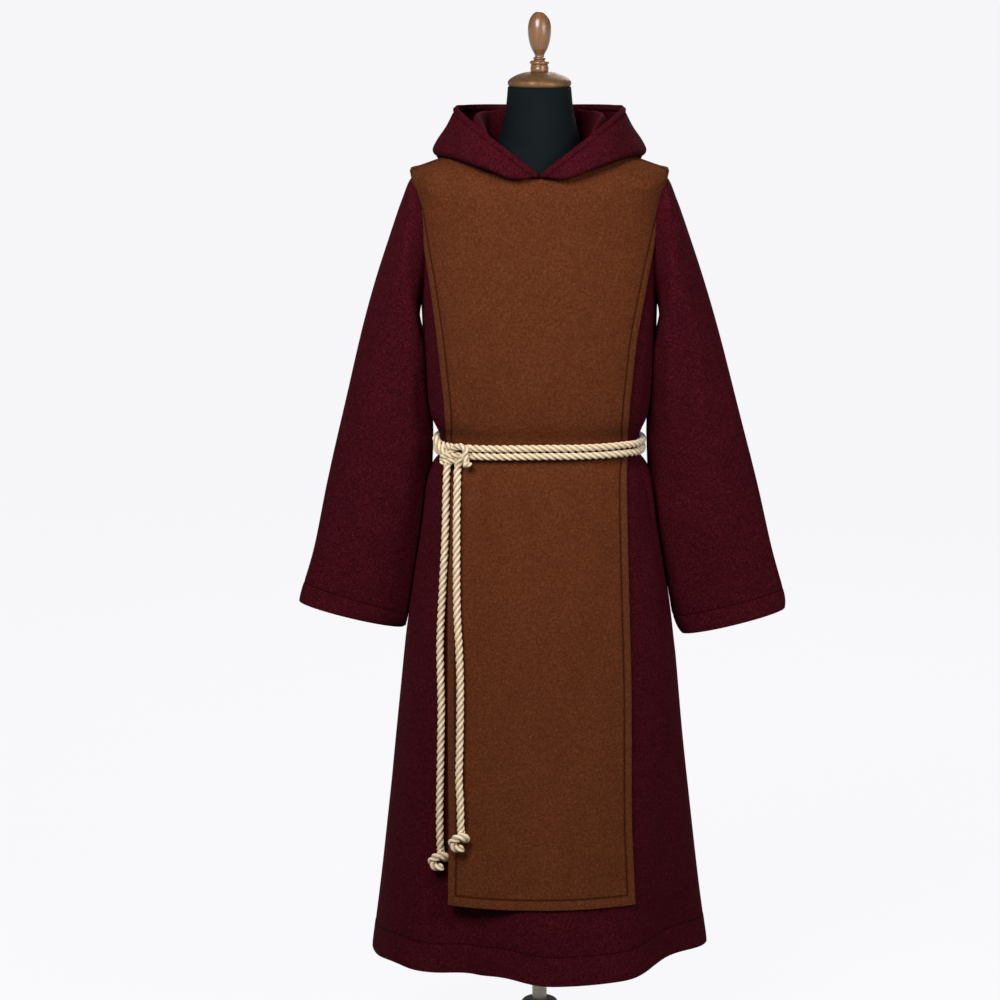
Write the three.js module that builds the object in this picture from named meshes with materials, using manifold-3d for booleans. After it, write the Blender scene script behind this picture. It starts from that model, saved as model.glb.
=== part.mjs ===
// A monk's habit on a dress form: a long wool robe with straight sleeves and a hood lying
// back on the shoulders, a scapular (front and back panel over the robe), a doubled rope
// belt with its knot and two hanging tails, and the limbless form and stand that carry it.
// Millimetres. X is the wearer's left, seen on the right from the front, the front faces
// -Y, Z is up, and the origin is the centre of the base's underside.
import * as THREE from "three";
import { mergeVertices } from "three/addons/utils/BufferGeometryUtils.js";
import Module from "manifold-3d";

const wasm = await Module();
wasm.setup();

// Driving dimensions.
const WOOL = 3; // wall of the robe, the sleeves and the hood
const SCAPULAR_WOOL = 2.5; // wall of the scapular
const SEAM = 0.3; // gap between pieces that are sewn or pressed together
const LAY = 2; // gap under a panel that lies on another, clear of both panels' flats
const ROPE = 13; // rope diameter
const POLE = 26; // pole diameter
const BASE_RADIUS = 170;
const BASE_THICKNESS = 18;
const HUB_HEIGHT = 78;
const FORM_BOTTOM = 775; // underside of the torso, well above the hem
const FORM_TOP = 1705; // top of the neck
const BELT_HEIGHT = 1091; // centre of the doubled rope

// Facets.
const ROUND = 36; // around the body
const SLEEVE_ROUND = 16;
const ROPE_SIDES = 8;
const TURNED_ROUND = { cap: 28, finial: 16, base: 32, pole: 24 };
const ROPE_STEPS = { belt: 34, tail: 24, knot: 5, endKnot: 7 };

// The body's rings, hem to neckline. The side point is on the side seam, and from the
// armhole up it climbs and turns in along the shoulder.
// half width, side z, front depth, front z, back depth, back z, squareness
const BODY_RINGS = [
  [298, 181, 252, 181, 258, 181, 2.1],
  [283, 300, 238, 300, 242, 300, 2.1],
  [263, 480, 216, 480, 217, 480, 2.15],
  [245, 650, 195, 650, 193, 650, 2.15],
  [229, 800, 177, 800, 170, 800, 2.2],
  [208, 940, 153, 940, 145, 940, 2.3],
  [195, 1030, 135, 1030, 126, 1030, 2.3],
  [172.5, 1068, 120, 1068, 112, 1068, 2.4],
  [170.5, 1091, 118, 1091, 110, 1091, 2.4],
  [172.5, 1114, 120, 1114, 112, 1114, 2.4],
  [190, 1145, 129, 1145, 121, 1145, 2.4],
  [200, 1240, 131, 1240, 127, 1240, 2.4],
  [205, 1350, 123, 1350, 127, 1350, 2.4],
  [206, 1415, 116, 1415, 123, 1415, 2.4],
  [207, 1470, 109, 1462, 118, 1465, 2.4],
  [210, 1513, 104, 1495, 113, 1505, 2.4],
  [216, 1545, 101, 1517, 108, 1532, 2.4],
  [208, 1562, 98, 1530, 103, 1550, 2.4],
  [182, 1574, 95, 1539, 97, 1564, 2.4],
  [138, 1588, 92, 1547, 88, 1578, 2.2],
  [84, 1602, 89, 1554, 76, 1592, 2.0],
];
const [WIDTH, SIDE_Z, FRONT, FRONT_Z, BACK, BACK_Z, SQUARE] = [0, 1, 2, 3, 4, 5, 6];
const NECK_RING = BODY_RINGS.length - 1;
const CORNER_RING = 16; // the scapular's outer corner, at the shoulder tip
const CHEST_RING = 13; // the form fills the robe from here up

// Soft folds of the skirt, deepest at the hem. Angles run from the front, + to the left
// arm's side (+X): angle, half spread (degrees), depth inward, lift of the hem, top z
const SKIRT_FOLDS = [
  [-27, 25, 34, 7, 760],
  [-10, 14, 5, 8, 600],
  [-57, 22, 2, 8, 760],
  [57, 24, 34, 5, 700],
  [72, 60, 0, 11, 700],
  [-118, 22, 22, 3, 820],
  [-158, 20, 30, 5, 880],
  [152, 22, 26, 4, 800],
  [112, 18, 16, 2, 640],
];

// Sleeve rings, from inside the shoulder to the cuff: outer point x, z, inner point x, z,
// half depth, middle y, and how far the left arm's sleeve (+X) stands out and hangs lower.
const SLEEVE_RINGS = [
  [186, 1556, 178, 1362, 38, 4, 0, 0, 0],
  [218, 1552, 203, 1335, 66, 2, 0, 0, 0],
  [237, 1512, 211, 1288, 75, 0, 0, 0, 0],
  [259, 1450, 203, 1235, 78, 2, 0, 0, 0],
  [285, 1370, 192, 1180, 76, 6, 0, 0, 0],
  [313, 1268, 186.5, 1118, 72, 8, 2, 1, 0],
  [343, 1143, 188.5, 1040, 66, 8, 6, 1.5, 0],
  [370, 1020, 192, 950, 59, 8, 11, 1, 2],
  [395, 906, 200, 857, 52, 8, 13, 14, 6],
  [417, 830, 212, 781, 46, 6, 13, 28, 10],
  [423, 806, 240, 761, 43, 4, 9, 12, 12],
];
const [OUT_X, OUT_Z, IN_X, IN_Z, DEPTH, MID_Y] = [0, 1, 2, 3, 4, 5];
const [EXTRA_OUT, EXTRA_IN, DROP] = [6, 7, 8];
const FREE_ROW = 2; // from this ring down a sleeve hangs beside the body
const BESIDE_BODY = 2; // air between a hanging sleeve and the body

// The front scapular's side edges: z, x of the right arm's side, x of the left arm's side.
const SCAPULAR_FRONT_EDGES = [
  [315, -155, 162],
  [450, -154, 157],
  [690, -155, 155],
  [1034, -155, 147],
  [1118, -157, 148],
  [1172, -160, 152],
  [1280, -172, 164],
  [1390, -187, 183],
  [1434, -194, 192],
  [1496, -202, 204],
  [1513, -207.5, 207.5],
  [1545, -215, 215],
];
const SCAPULAR_BACK_EDGES = [
  [335, -160, 160],
  [690, -156, 156],
  [1118, -152, 152],
  [1280, -166, 166],
  [1434, -192, 192],
  [1513, -207.5, 207.5],
  [1545, -215, 215],
];
const SCAPULAR_COLUMNS = 14;

// The hood lying back. Each row is a line along the cloth, from the neck seam over the
// inner crest, down into the bag and out to the rim of the face opening. Each column is a
// place round the neck, from the front point to the centre of the back: [x, y, z].
const HOOD_ROWS = [
  // neck seam: filled from the robe's neckline
  [1, 26, 51, 77, 100, 125, 152, 180],
  // stand, up the neck
  [[2, -90, 1559], [39, -88, 1571], [72, -72, 1592], [89, -36, 1622], [96, 8, 1634],
    [84, 56, 1632], [48, 84, 1630], [0, 92, 1628]],
  // inner crest
  [[3, -92, 1561], [41, -95, 1575], [77, -70, 1605], [98, -34, 1643], [107, 12, 1657],
    [94, 66, 1658], [54, 96, 1658], [0, 106, 1658]],
  // down inside
  [[3.5, -94, 1562], [42, -101, 1572], [84, -78, 1596], [108, -40, 1626], [119, 12, 1632],
    [112, 74, 1610], [66, 118, 1560], [0, 130, 1545]],
  // floor of the pocket
  [[4, -96, 1562], [43, -105, 1566], [87, -90, 1581], [116, -52, 1596], [142, 10, 1602],
    [140, 84, 1582], [84, 136, 1478], [0, 146, 1430]],
  // lowest line on the shoulders and down the back
  [[4, -100, 1558], [46, -109, 1556], [88, -99, 1571], [136, -64, 1585], [178, 8, 1589],
    [176, 84, 1576], [104, 146, 1420], [0, 152, 1352]],
  // outside
  [[4.5, -100, 1561], [46, -106, 1576], [89, -94, 1596], [130, -58, 1616], [159, 14, 1630],
    [153, 92, 1624], [106, 168, 1540], [0, 184, 1480]],
  // rim of the face opening
  [[5, -99, 1565], [45, -97, 1596], [84, -74, 1624], [122, -38, 1653], [143, 22, 1669],
    [130, 88, 1668], [84, 138, 1666], [0, 158, 1664]],
];
const NECK_SEAM = 2.4; // from the robe's neckline up to the hood's slanted lower edge
const HOOD_COLUMNS = 12;
const HOOD_LINES = 15;

// Routes of the two tails, knot to end knot.
const RIGHT_TAIL = [
  [-158, -99, 1062],
  [-160, -105, 1030],
  [-161, -117, 975],
  [-163, -128, 920],
  [-166, -135, 865],
  [-169, -140, 810],
  [-171, -147, 755],
  [-170, -154, 700],
  [-169, -160, 650],
  [-170, -167, 590],
  [-171, -173, 530],
  [-172, -178, 480],
  [-172, -182, 440],
  [-171, -185, 404],
];
const LEFT_TAIL = [
  [-140, -109, 1062],
  [-141, -119, 1032],
  [-142, -131, 980],
  [-142, -142, 925],
  [-142, -152, 870],
  [-141, -162, 815],
  [-138, -171, 760],
  [-136, -179, 705],
  [-136, -186, 650],
  [-137, -193, 590],
  [-138, -201, 535],
  [-136, -209, 495],
  [-135, -217, 446],
];

// Profiles of the turned pieces: radius, z.
const CAP_PROFILE = [
  [0, 1705.3], [50, 1705.3], [53.5, 1707], [54.5, 1711], [53.5, 1715.3], [48.5, 1720],
  [37, 1726], [20, 1730.3], [0, 1731],
];
const FINIAL_PROFILE = [
  [0, 1731.3], [15, 1731.3], [15.4, 1736], [15.2, 1742], [16.4, 1746], [14.5, 1749.7],
  [9.5, 1750.6], [10.9, 1753], [8.6, 1755.2], [7.9, 1757.5], [9.6, 1762], [13.4, 1769],
  [16.6, 1778], [18.8, 1788], [19.8, 1799], [19, 1811], [15.6, 1822], [9.6, 1830], [0, 1833],
];
const BASE_PROFILE = [
  [0, 0], [BASE_RADIUS - 3, 0], [BASE_RADIUS, 4], [BASE_RADIUS - 2, 12],
  [BASE_RADIUS - 10, BASE_THICKNESS], [58, BASE_THICKNESS + 4], [44, 30], [38, 52],
  [34, 70], [26, HUB_HEIGHT], [0, HUB_HEIGHT],
];

// Rows of the dress form under the loose part of the robe: half width, z, front, back.
const TORSO_ROWS = [
  [140, FORM_BOTTOM, 98, 96],
  [153, FORM_BOTTOM + 12, 110, 106],
  [168, 880, 125, 118],
  [160, 980, 116, 110],
  [136, 1080, 99, 94],
  [138, 1130, 100, 95],
  [166, 1260, 112, 106],
  [186, 1370, 108, 110],
];
// Rows of the form above the robe's neckline: half width, side z, front, front z, back, back z.
const NECK_ROWS = [
  [73, 1610, 79, 1572, 68, 1602],
  [68.5, 1622, 70, 1596, 65, 1616],
  [65.5, 1632, 66, 1618, 64, 1630],
  [62, 1648, 62, 1646, 61.5, 1648],
  [57.5, 1671, 57.5, 1671, 57.5, 1671],
  [54.3, FORM_TOP, 54.3, FORM_TOP, 54.3, FORM_TOP],
];
const SHOULDER_GAP = 0.5; // robe lining of air on the form's shoulders

// ---------------------------------------------------------------- shared geometry

const radians = THREE.MathUtils.degToRad;

/** Catmull-Rom value through numbers at 0, 1, 2 ... */
function spline(values, at) {
  const last = values.length - 1;
  const index = Math.min(Math.max(Math.floor(at), 0), last - 1);
  const f = at - index;
  const a = values[Math.max(index - 1, 0)];
  const b = values[index];
  const c = values[index + 1];
  const d = values[Math.min(index + 2, last)];
  return b + 0.5 * f * (c - a + f * (2 * a - 5 * b + 4 * c - d + f * (3 * (b - c) + d - a)));
}

/** One column of a table, as a smooth function of the row. */
function columnAt(table, column, row) {
  return spline(table.map((cells) => cells[column]), row);
}

/** Straight-line value of a table's column at a given value of its first column. */
function lookUp(table, column, key) {
  const above = table.findIndex((cells) => cells[0] >= key);
  if (above === 0) return table[0][column];
  if (above === -1) return table[table.length - 1][column];
  const low = table[above - 1];
  const high = table[above];
  return THREE.MathUtils.mapLinear(key, low[0], high[0], low[column], high[column]);
}

/** A point of an oval ring: 0 degrees is the front, 90 the left arm's side (+X). */
function ovalPoint(degrees, width, sideZ, front, frontZ, back, backZ, square) {
  const s = Math.sin(radians(degrees));
  const c = Math.cos(radians(degrees));
  const depth = c > 0 ? -front : back;
  const endZ = c > 0 ? frontZ : backZ;
  return new THREE.Vector3(
    width * Math.sign(s) * Math.abs(s) ** (2 / square),
    depth * Math.abs(c) ** (2 / square),
    endZ + (sideZ - endZ) * s * s,
  );
}

/** How far the skirt's folds pull the hem in and lift it at an angle and a height. */
function skirtFold(degrees, z) {
  const hem = BODY_RINGS[0][SIDE_Z];
  let inward = 0;
  let lift = 0;
  for (const [angle, spread, depth, rise, top] of SKIRT_FOLDS) {
    const away = Math.abs(((degrees - angle + 540) % 360) - 180);
    if (away < spread && z < top) {
      const bump = Math.cos((away / spread) * (Math.PI / 2)) ** 2;
      const fall = ((top - z) / (top - hem)) ** 1.4;
      inward += depth * bump * fall;
      lift += rise * bump * fall ** 3;
    }
  }
  return { inward, lift };
}

function bodySurface(degrees, ring, folded) {
  const row = BODY_RINGS[0].map((_, column) => columnAt(BODY_RINGS, column, ring));
  const p = ovalPoint(degrees, row[WIDTH], row[SIDE_Z], row[FRONT], row[FRONT_Z],
    row[BACK], row[BACK_Z], row[SQUARE]);
  if (folded) {
    const { inward, lift } = skirtFold(degrees, p.z);
    const radius = Math.hypot(p.x, p.y);
    p.x *= 1 - inward / radius;
    p.y *= 1 - inward / radius;
    p.z += lift;
  }
  return p;
}

/** A point of the robe's outer surface moved out along its normal. */
function bodyPoint(degrees, ring, out = 0, folded = true) {
  const step = 0.5;
  const low = Math.max(ring - 0.05, 0);
  const high = Math.min(ring + 0.05, NECK_RING);
  const around = bodySurface(degrees + step, ring, folded)
    .sub(bodySurface(degrees - step, ring, folded));
  const up = bodySurface(degrees, high, folded).sub(bodySurface(degrees, low, folded));
  const normal = around.cross(up).normalize();
  return bodySurface(degrees, ring, folded).addScaledVector(normal, out);
}

/** The ring at which the body's side seam has a given height. */
function ringAt(z) {
  const above = BODY_RINGS.findIndex((row) => row[SIDE_Z] > z);
  return above - 1 + (z - BODY_RINGS[above - 1][SIDE_Z])
    / (BODY_RINGS[above][SIDE_Z] - BODY_RINGS[above - 1][SIDE_Z]);
}

/** The angle, front or back, at which a ring of the body reaches a given x. */
function angleAtX(x, ring, isBack) {
  let low = 0;
  let high = 90;
  const angle = (degrees) => (isBack ? 180 - degrees : degrees);
  for (let i = 0; i < 30; i += 1) {
    const mid = (low + high) / 2;
    if (bodySurface(angle(mid), ring, false).x < Math.abs(x)) low = mid;
    else high = mid;
  }
  return Math.sign(x) * low;
}

/** Index triangles over points laid out in rows; `wrap` joins the last column to the first. */
function gridFaces(rows, columns, wrap, flip, first) {
  const faces = [];
  const spans = wrap ? columns : columns - 1;
  for (let r = 0; r < rows - 1; r += 1) {
    for (let c = 0; c < spans; c += 1) {
      const a = first + r * columns + c;
      const b = first + r * columns + ((c + 1) % columns);
      const quad = [a, b, b + columns, a, b + columns, a + columns];
      faces.push(...(flip ? quad.reverse() : quad));
    }
  }
  return faces;
}

function indexedGeometry(points, faces) {
  const geometry = new THREE.BufferGeometry();
  const flat = points.flatMap((p) => [p.x, p.y, p.z]);
  geometry.setAttribute("position", new THREE.Float32BufferAttribute(flat, 3));
  geometry.setIndex(faces);
  return geometry;
}

/** A closed wall between an outer and an inner grid of points, turned to face outwards. */
function wall(outer, inner, wrap = false) {
  const rows = outer.length;
  const columns = outer[0].length;
  const points = [...outer.flat(), ...inner.flat()];
  const half = rows * columns;
  const faces = [
    ...gridFaces(rows, columns, wrap, false, 0),
    ...gridFaces(rows, columns, wrap, true, half),
  ];
  const close = (a, b) => faces.push(b, a, a + half, b, a + half, b + half);
  const spans = wrap ? columns : columns - 1;
  const top = (rows - 1) * columns;
  for (let c = 0; c < spans; c += 1) {
    close(c, (c + 1) % columns);
    close(top + ((c + 1) % columns), top + c);
  }
  for (let r = 0; !wrap && r < rows - 1; r += 1) {
    close((r + 1) * columns, r * columns);
    close((r + 1) * columns - 1, (r + 2) * columns - 1);
  }
  return facingOut(indexedGeometry(points, faces));
}

/** A filled loft through closed rings of points, with a flat fan on each end. */
function loft(rings) {
  const columns = rings[0].length;
  const points = rings.flat();
  const faces = gridFaces(rings.length, columns, true, false, 0);
  const middle = (ring) => ring
    .reduce((sum, p) => sum.add(p), new THREE.Vector3())
    .divideScalar(ring.length);
  const bottom = points.push(middle(rings[0])) - 1;
  const top = points.push(middle(rings.at(-1))) - 1;
  const last = (rings.length - 1) * columns;
  for (let c = 0; c < columns; c += 1) {
    const next = (c + 1) % columns;
    faces.push(bottom, next, c, top, last + c, last + next);
  }
  return facingOut(indexedGeometry(points, faces));
}

/** Turn every triangle over when the signed volume says that they face inwards. */
function facingOut(geometry) {
  const at = geometry.getAttribute("position");
  const index = Array.from(geometry.getIndex().array);
  const [a, b, c] = [new THREE.Vector3(), new THREE.Vector3(), new THREE.Vector3()];
  let volume = 0;
  for (let i = 0; i < index.length; i += 3) {
    a.fromBufferAttribute(at, index[i]);
    b.fromBufferAttribute(at, index[i + 1]);
    c.fromBufferAttribute(at, index[i + 2]);
    volume += a.dot(b.cross(c));
  }
  if (volume < 0) geometry.setIndex(index.reverse());
  return geometry;
}

function toSolid(geometry) {
  const bare = geometry.clone();
  bare.deleteAttribute("normal");
  bare.deleteAttribute("uv");
  const merged = mergeVertices(bare, 1e-3);
  return new wasm.Manifold(new wasm.Mesh({
    numProp: 3,
    vertProperties: new Float32Array(merged.getAttribute("position").array),
    triVerts: new Uint32Array(merged.getIndex().array),
  }));
}

function toGeometry(solid) {
  const mesh = solid.getMesh();
  const geometry = new THREE.BufferGeometry();
  const positions = new Float32Array(mesh.vertProperties);
  geometry.setAttribute("position", new THREE.BufferAttribute(positions, 3));
  geometry.setIndex(Array.from(mesh.triVerts));
  return geometry;
}

/** The largest connected piece of a solid, without the slivers that a cut leaves. */
function largest(solid) {
  return solid.decompose().reduce((best, one) => (one.volume() > best.volume() ? one : best));
}

function ropeTube(points, steps) {
  const path = new THREE.CatmullRomCurve3(points, false, "centripetal");
  const section = new THREE.Shape().absarc(0, 0, ROPE / 2, 0, 2 * Math.PI);
  return new THREE.ExtrudeGeometry(section, {
    steps, extrudePath: path, curveSegments: ROPE_SIDES / 2,
  });
}

function turned(profile, segments) {
  const points = profile.map(([radius, z]) => new THREE.Vector2(radius, z));
  return new THREE.LatheGeometry(points, segments).rotateX(Math.PI / 2);
}

const vectors = (rows) => rows.map((row) => new THREE.Vector3(...row));

const range = (count, from, to) => Array.from({ length: count + 1 }, (_, i) => (
  from + ((to - from) * i) / count
));

// ---------------------------------------------------------------- robe

const bodyRows = range(NECK_RING, 0, NECK_RING);

/** Keep the two panels of the robe or scapular a seam apart at the sides and shoulders. */
function clearOfSeam(point, isBack) {
  const limit = SEAM / 2;
  point.y = isBack ? Math.max(point.y, limit) : Math.min(point.y, -limit);
  return point;
}

function robePanel(isBack, armholes) {
  const angles = range(ROUND / 2, isBack ? 90 : -90, isBack ? 270 : 90);
  const surface = (out) => bodyRows.map((ring) => angles.map((degrees) => (
    clearOfSeam(bodyPoint(degrees, ring, out), isBack)
  )));
  const panel = toSolid(wall(surface(0), surface(-WOOL)));
  return toGeometry(largest(armholes.reduce((left, hole) => left.subtract(hole), panel)));
}

function filledBody(out) {
  const angles = range(ROUND, -180, 180).slice(0, ROUND);
  return toSolid(loft(bodyRows.map((ring) => angles.map((a) => bodyPoint(a, ring, out)))));
}

/** How far the body's side reaches along x at a given y and height. */
function bodyReach(y, z) {
  const ring = ringAt(z);
  const depth = columnAt(BODY_RINGS, y < 0 ? FRONT : BACK, ring);
  const power = columnAt(BODY_RINGS, SQUARE, ring);
  return columnAt(BODY_RINGS, WIDTH, ring) * (1 - (Math.abs(y) / depth) ** power) ** (1 / power);
}

/** One ring of a sleeve; side is +1 for the left arm (+X), -1 for the right arm. */
function sleeveRing(side, row, inset) {
  const cells = SLEEVE_RINGS[row];
  const extra = side > 0 ? 1 : 0;
  const drop = extra * cells[DROP];
  const outer = new THREE.Vector2(cells[OUT_X] + extra * cells[EXTRA_OUT], cells[OUT_Z] - drop);
  const inner = new THREE.Vector2(cells[IN_X] + extra * cells[EXTRA_IN], cells[IN_Z] - drop);
  const middle = outer.clone().add(inner).multiplyScalar(0.5);
  const half = outer.clone().sub(middle);
  half.setLength(half.length() - inset);
  return range(SLEEVE_ROUND, 0, 360).slice(0, SLEEVE_ROUND).map((degrees) => {
    const along = Math.cos(radians(degrees));
    const across = Math.sin(radians(degrees));
    const y = cells[MID_Y] + (cells[DEPTH] - inset) * across;
    const z = middle.y + half.y * along;
    const nearest = row < FREE_ROW ? 0 : bodyReach(y, z) + BESIDE_BODY + inset;
    return new THREE.Vector3(side * Math.max(middle.x + half.x * along, nearest), y, z);
  });
}

function sleeve(side, cutters) {
  const rows = SLEEVE_RINGS.map((_, row) => row);
  const outer = rows.map((row) => sleeveRing(side, row, 0));
  const inner = rows.map((row) => sleeveRing(side, row, WOOL));
  const tube = toSolid(wall(outer, inner, true));
  return toGeometry(largest(cutters.reduce((left, cutter) => left.subtract(cutter), tube)));
}

/** The space inside a sleeve's first rings, which opens the armhole in the robe's panels. */
function armhole(side) {
  return toSolid(loft([0, 1, 2, 3].map((row) => sleeveRing(side, row, WOOL))));
}

// ---------------------------------------------------------------- scapular

/** Rings of the body that a scapular panel crosses, from its bottom edge to its neckline. */
function scapularRows(edges) {
  const bottom = ringAt(edges[0][0]);
  const neckline = NECK_RING - 0.3;
  const corner = [3, 2, 1].map((step) => CORNER_RING - step + 0.5);
  return [bottom, ...bodyRows.filter((row) => row > bottom + 0.2 && row < neckline), ...corner,
    neckline].sort((a, b) => a - b);
}

function scapularGrid(isBack, edges, out, spare = 0, seamed = true) {
  return scapularRows(edges).map((ring) => {
    const z = columnAt(BODY_RINGS, SIDE_Z, ring);
    const reach = (column, sign) => {
      if (ring >= CORNER_RING) return sign * 90;
      return angleAtX(lookUp(edges, column, z) + sign * spare, ring, isBack);
    };
    return range(SCAPULAR_COLUMNS, reach(1, -1), reach(2, 1)).map((degrees) => {
      const angle = isBack ? 180 - degrees : degrees;
      const point = bodyPoint(angle, ring, out, false);
      return seamed ? clearOfSeam(point, isBack) : point;
    });
  });
}

function scapularPanel(isBack, edges, bodyBelow) {
  const panel = toSolid(wall(
    scapularGrid(isBack, edges, LAY + SCAPULAR_WOOL),
    scapularGrid(isBack, edges, LAY),
  ));
  return toGeometry(largest(panel.subtract(bodyBelow)));
}

/** The scapular with some air round it, which the sleeve heads stay clear of. */
function scapularReach(isBack, edges) {
  const air = 3;
  const depth = LAY + SCAPULAR_WOOL + air;
  const spare = 1.2;
  return toSolid(wall(
    scapularGrid(isBack, edges, depth, spare, false),
    scapularGrid(isBack, edges, -WOOL, spare, false),
  ));
}

// ---------------------------------------------------------------- hood

/** A point of the hood's middle surface: column along the rim, line from neck to rim. */
function hoodPoint(column, line) {
  const lines = HOOD_ROWS.map((row, index) => {
    if (index === 0) {
      const seam = bodyPoint(spline(row, column), NECK_RING, -WOOL / 2, false);
      return [seam.x, seam.y, bodySurface(spline(row, column), NECK_RING, false).z + NECK_SEAM];
    }
    return [0, 1, 2].map((axis) => spline(row.map((cell) => cell[axis]), column));
  });
  return new THREE.Vector3(...[0, 1, 2].map((axis) => spline(lines.map((p) => p[axis]), line)));
}

function hoodGrid(side, out) {
  const lastColumn = HOOD_ROWS[0].length - 1;
  const lastLine = HOOD_ROWS.length - 1;
  const nudge = 0.02;
  return range(HOOD_LINES, 0, lastLine).map((line) => (
    range(HOOD_COLUMNS, 0, lastColumn).map((column) => {
      const along = hoodPoint(Math.min(column + nudge, lastColumn), line)
        .sub(hoodPoint(Math.max(column - nudge, 0), line));
      const up = hoodPoint(column, Math.min(line + nudge, lastLine))
        .sub(hoodPoint(column, Math.max(line - nudge, 0)));
      const point = hoodPoint(column, line);
      point.addScaledVector(along.cross(up).normalize(), out);
      point.x = side * Math.max(point.x, SEAM / 2);
      return point;
    })
  ));
}

function hoodHalf(side) {
  return wall(hoodGrid(side, WOOL / 2), hoodGrid(side, -WOOL / 2));
}

// ---------------------------------------------------------------- rope belt

// The belt's height round the waist, and where it crosses the scapular.
// angle from the front, height above BELT_HEIGHT, distance out to the rope's middle
const BELT_COURSE = [
  [-180, 0, 14],
  [-125, 0, 14],
  [-100, -2, 9.2],
  [-80, -3, 9.2],
  [-62, -4, 14],
  [-50, -5, 14],
  [-36, -3, 14],
  [0, 1, 14],
  [50, 0, 14],
  [64, -2, 13.8],
  [80, -3, 9.2],
  [100, -3, 9.2],
  [125, -2, 14],
  [180, 0, 14],
];
const KNOT_ANGLE = -46; // middle of the knot
const KNOT_SPREAD = 9; // from the knot's middle to each end of the belt's strands
const STRAND_RISE = ROPE / 2 + 0.95; // from the belt's middle to each strand's

function beltPoint(degrees, rise) {
  const turned = ((degrees + 540) % 360) - 180;
  const height = BELT_HEIGHT + lookUp(BELT_COURSE, 1, turned) + rise;
  return bodyPoint(turned, ringAt(height), lookUp(BELT_COURSE, 2, turned), false);
}

/** The end of a belt strand on one side of the knot, and its direction away from the knot. */
function strandEnd(side, rise) {
  const angle = KNOT_ANGLE + side * KNOT_SPREAD;
  const end = beltPoint(angle, rise);
  return { end, away: beltPoint(angle + side, rise).sub(end).normalize() };
}

const LEAD = 8; // straight run on each side of a joint between two lengths of rope

const moved = (point, direction, distance) => point.clone().addScaledVector(direction, distance);

const knotMiddle = beltPoint(KNOT_ANGLE, 0);
const knotAlong = beltPoint(KNOT_ANGLE + 1, 0).sub(beltPoint(KNOT_ANGLE - 1, 0)).setZ(0).normalize();
const knotOut = new THREE.Vector3(knotAlong.y, -knotAlong.x, 0);

/** A place on the knot: along the belt to the left arm's side, out from the body, and up. */
function knotPlace([along, out, up]) {
  return knotMiddle.clone()
    .addScaledVector(knotAlong, along)
    .addScaledVector(knotOut, out)
    .add(new THREE.Vector3(0, 0, up));
}

function beltStrand(rise) {
  const [start, finish] = [1, -1].map((side) => strandEnd(side, rise));
  const first = KNOT_ANGLE + 2 * KNOT_SPREAD;
  const last = KNOT_ANGLE + 360 - 2 * KNOT_SPREAD;
  const course = range(ROPE_STEPS.belt - 2, first, last);
  return ropeTube([
    start.end, moved(start.end, start.away, LEAD),
    ...course.map((degrees) => beltPoint(degrees, rise)),
    moved(finish.end, finish.away, LEAD), finish.end,
  ], ROPE_STEPS.belt);
}

/** The stub by which a knot meets a strand or tail that ends at a point. */
function stub(end, away) {
  return [moved(end, away, -SEAM), moved(end, away, -LEAD)];
}

// The runs of rope on the face of the belt knot, in the knot's own directions.
const KNOT_WRAPS = [
  [[-12, 3, 15], [-6, 10, 18], [8, 11, 18], [16, 9, 6], [15, 9, -7], [11, 3, -12]],
  [[-14, 6, -11], [-9, 11, -4], [-1, 12, 0], [8, 8, 3]],
  [[-12, 5, 14], [-13, 8, 4], [-14, 6, -11]],
];
// Where the tails leave the knot, in the same directions.
const TAIL_ROOTS = [
  [RIGHT_TAIL, [-10, 4, -6]],
  [LEFT_TAIL, [6, 6, -4]],
];
// The turn of rope in an end knot, from the tail's end, and the tip that leaves it.
const TURN_MIDDLE = [-2, -1, -12];
const TURN_REACH = [13, 7, 4];
const KNOT_TIP = [
  [-9, 1, -18],
  [-15, -2, -23],
  [-11, -4, -30],
  [-4, -5, -33],
  [6, -4, -32],
];

function ropeUnion(runs, steps) {
  return toGeometry(runs
    .map((run) => toSolid(ropeTube(run, steps)))
    .reduce((all, one) => all.add(one)));
}

function beltKnot() {
  const through = [STRAND_RISE, -STRAND_RISE].map((rise) => {
    const [right, left] = [1, -1].map((side) => strandEnd(side, rise));
    return [...stub(left.end, left.away), ...stub(right.end, right.away).reverse()];
  });
  const tails = TAIL_ROOTS.map(([route, root]) => {
    const [start, next] = vectors(route.slice(0, 2));
    return [...stub(start, next.sub(start).normalize()), knotPlace(root)];
  });
  const wraps = KNOT_WRAPS.map((run) => run.map(knotPlace));
  return ropeUnion([...through, ...wraps, ...tails], ROPE_STEPS.knot);
}

/** An overhand knot closing a tail: a tilted turn of rope round the run that ends it. */
function endKnot(route) {
  const [before, end] = vectors(route.slice(-2));
  const away = before.sub(end).normalize();
  const around = range(8, 20, 360).map((degrees) => {
    const along = Math.cos(radians(degrees));
    const across = Math.sin(radians(degrees));
    const turn = vectors([[along, across, along]])[0].multiply(vectors([TURN_REACH])[0]);
    return turn.add(end).add(vectors([TURN_MIDDLE])[0]);
  });
  const tip = vectors(KNOT_TIP).map((offset) => offset.add(end));
  return ropeUnion([around, [...stub(end, away), ...tip]], ROPE_STEPS.endKnot);
}

// ---------------------------------------------------------------- form and stand

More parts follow.
